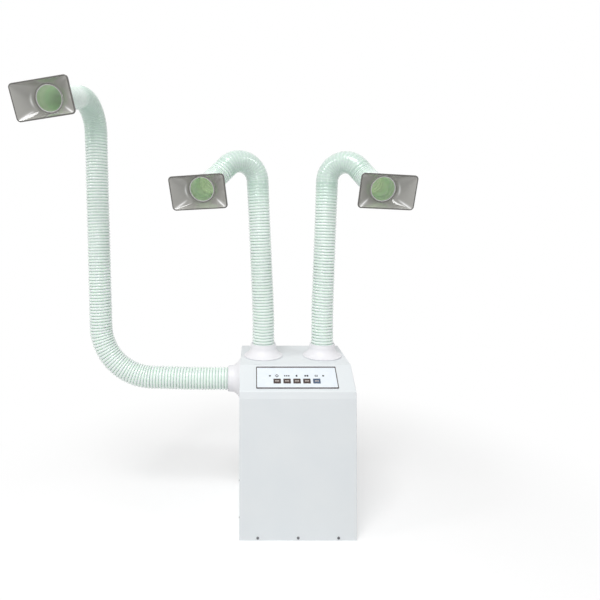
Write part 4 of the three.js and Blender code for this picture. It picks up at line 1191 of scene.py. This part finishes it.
def add_arm(arm):
    """Flange, swivel cuff, hose, end cuff and hood of one arm."""
    name = arm["name"]
    seat = Vector(arm["seat"])
    axis = Vector(arm["axis"])
    place = along(seat, axis)
    flange = mesh_object(f"{name}_bell_flange", turned(flange_profile()), place)
    carried(finished(flange, "white_plastic"), "cabinet", f"{name}_flange")
    cuff = mesh_object(f"{name}_swivel_ring", turned(swivel_profile()), place)
    carried(finished(cuff, "white_plastic"), f"{name}_arm_base", f"{name}_swivel_cuff")

    points = [seat + axis * HOSE_SEAT, *(seat + Vector(offset) for offset in arm["points"])]
    route = HoseRoute(points, arm["radii"], arm["bend_ribs"], arm["end_soak_and_shade"])
    add_hose(arm, route)

    tip, heading, _ = route.at(route.length)
    level = Vector((0, 0, 1)).cross(heading).normalized()
    upright = heading.cross(level)
    basis = Matrix((level, upright, heading)).transposed().to_4x4()
    end = Matrix.Translation(tip) @ basis @ Matrix.Rotation(arm["hood_roll"], 4, "Z")
    add_end_cuff(name, end)
    add_hood(arm, end)


# Frame nodes that stay in view

def finish_frame_nodes():
    slots = {part["node"]: part["material_slot"] for part in frame["record"]["subparts"]}
    for node, obj in frame["nodes"].items():
        for material_slot in obj.material_slots:
            material_slot.material = FINISHES[slots[node]]


# Stage, light and camera

def split_rays(tree, kind, lighting, seen):
    """Shows one shader to rays from the camera, a mirror or a clear surface, and lights with the other."""
    path = tree.nodes.new("ShaderNodeLightPath").outputs
    direct = path["Is Camera Ray"]
    for name in ("Is Glossy Ray", "Is Transmission Ray"):
        direct = add_node(tree, "Math", {0: direct, 1: path[name]}, operation="MAXIMUM")
    rays = add_node(tree, "MixShader", {"Fac": direct, 1: lighting, 2: seen})
    output = tree.nodes.new("ShaderNodeOutput" + kind)
    tree.links.new(rays, output.inputs["Surface"])


def add_stage():
    """Pale floor that keeps the object's shadow and fades into a white surround."""
    mesh = bpy.data.meshes.new("floor")
    corners = [(i * FLOOR_HALF, j * FLOOR_HALF, 0) for i, j in CORNER_SIGNS]
    mesh.from_pydata(corners, [], [(0, 1, 2, 3)])
    add_object("floor", mesh)

    material = bpy.data.materials.new("floor")
    material.use_nodes = True
    tree = material.node_tree
    tree.nodes.clear()
    matt = add_node(tree, "BsdfDiffuse", {"Color": (FLOOR_SHADE, FLOOR_SHADE, FLOOR_SHADE, 1)})
    glow = add_node(tree, "Emission", {"Strength": FLOOR_GLOW})
    lit = add_node(tree, "AddShader", {0: matt, 1: glow})
    white = add_node(tree, "Emission", {"Strength": 1.0})
    place = add_node(tree, "TexCoord", {}, "Object")
    distance = add_node(tree, "VectorMath", {0: place}, "Value", operation="LENGTH")
    limits = {"Value": distance, "From Min": FLOOR_FADE_FROM, "From Max": FLOOR_FADE_TO}
    fade = add_node(tree, "MapRange", limits, interpolation_type="SMOOTHSTEP")
    seen = add_node(tree, "MixShader", {"Fac": fade, 1: lit, 2: white})
    split_rays(tree, "Material", matt, seen)
    mesh.materials.append(material)


def add_surround():
    """White to the eye, and a dimmer even light on the object."""
    world = bpy.data.worlds.new("surround")
    bpy.context.scene.world = world
    world.use_nodes = True
    tree = world.node_tree
    tree.nodes.clear()
    ambient = add_node(tree, "Background", {"Color": (1, 1, 1, 1), "Strength": AMBIENT})
    white = add_node(tree, "Background", {"Color": (1, 1, 1, 1), "Strength": 1.0})
    split_rays(tree, "World", ambient, white)


def add_lamp(name, place, target, size, power):
    light = bpy.data.lights.new(name, "AREA")
    light.shape = "SQUARE"
    light.size = size
    light.energy = power
    lamp = add_object(name, light)
    lamp.location = place
    aim = Vector(target) - Vector(place)
    lamp.rotation_euler = aim.to_track_quat("-Z", "Y").to_euler()


def add_camera():
    data = bpy.data.cameras.new("camera")
    data.sensor_width = SENSOR_WIDTH
    data.lens = SENSOR_WIDTH * FOCAL_PIXELS / PHOTO_SIZE
    data.shift_x = 0.5 - PRINCIPAL_X / PHOTO_SIZE
    data.shift_y = PRINCIPAL_Y / PHOTO_SIZE - 0.5
    camera = add_object("camera", data)
    camera.location = CAMERA_PLACE
    camera.rotation_euler = (math.pi / 2 - CAMERA_PITCH, 0, 0)
    bpy.context.scene.camera = camera


add_camera()
add_stage()
add_surround()
for lamp_values in LAMPS:
    add_lamp(*lamp_values)
bpy.context.scene.view_settings.view_transform = "Standard"

finish_frame_nodes()
add_shell()
add_screws()
add_louvre_lips()
add_power_inlet()
add_fascia()
add_icons()
add_lenses()
for key_index, key_x in enumerate(KEY_CENTRES, start=1):
    add_key(key_index, key_x)
for hose_arm in ARMS:
    add_arm(hose_arm)
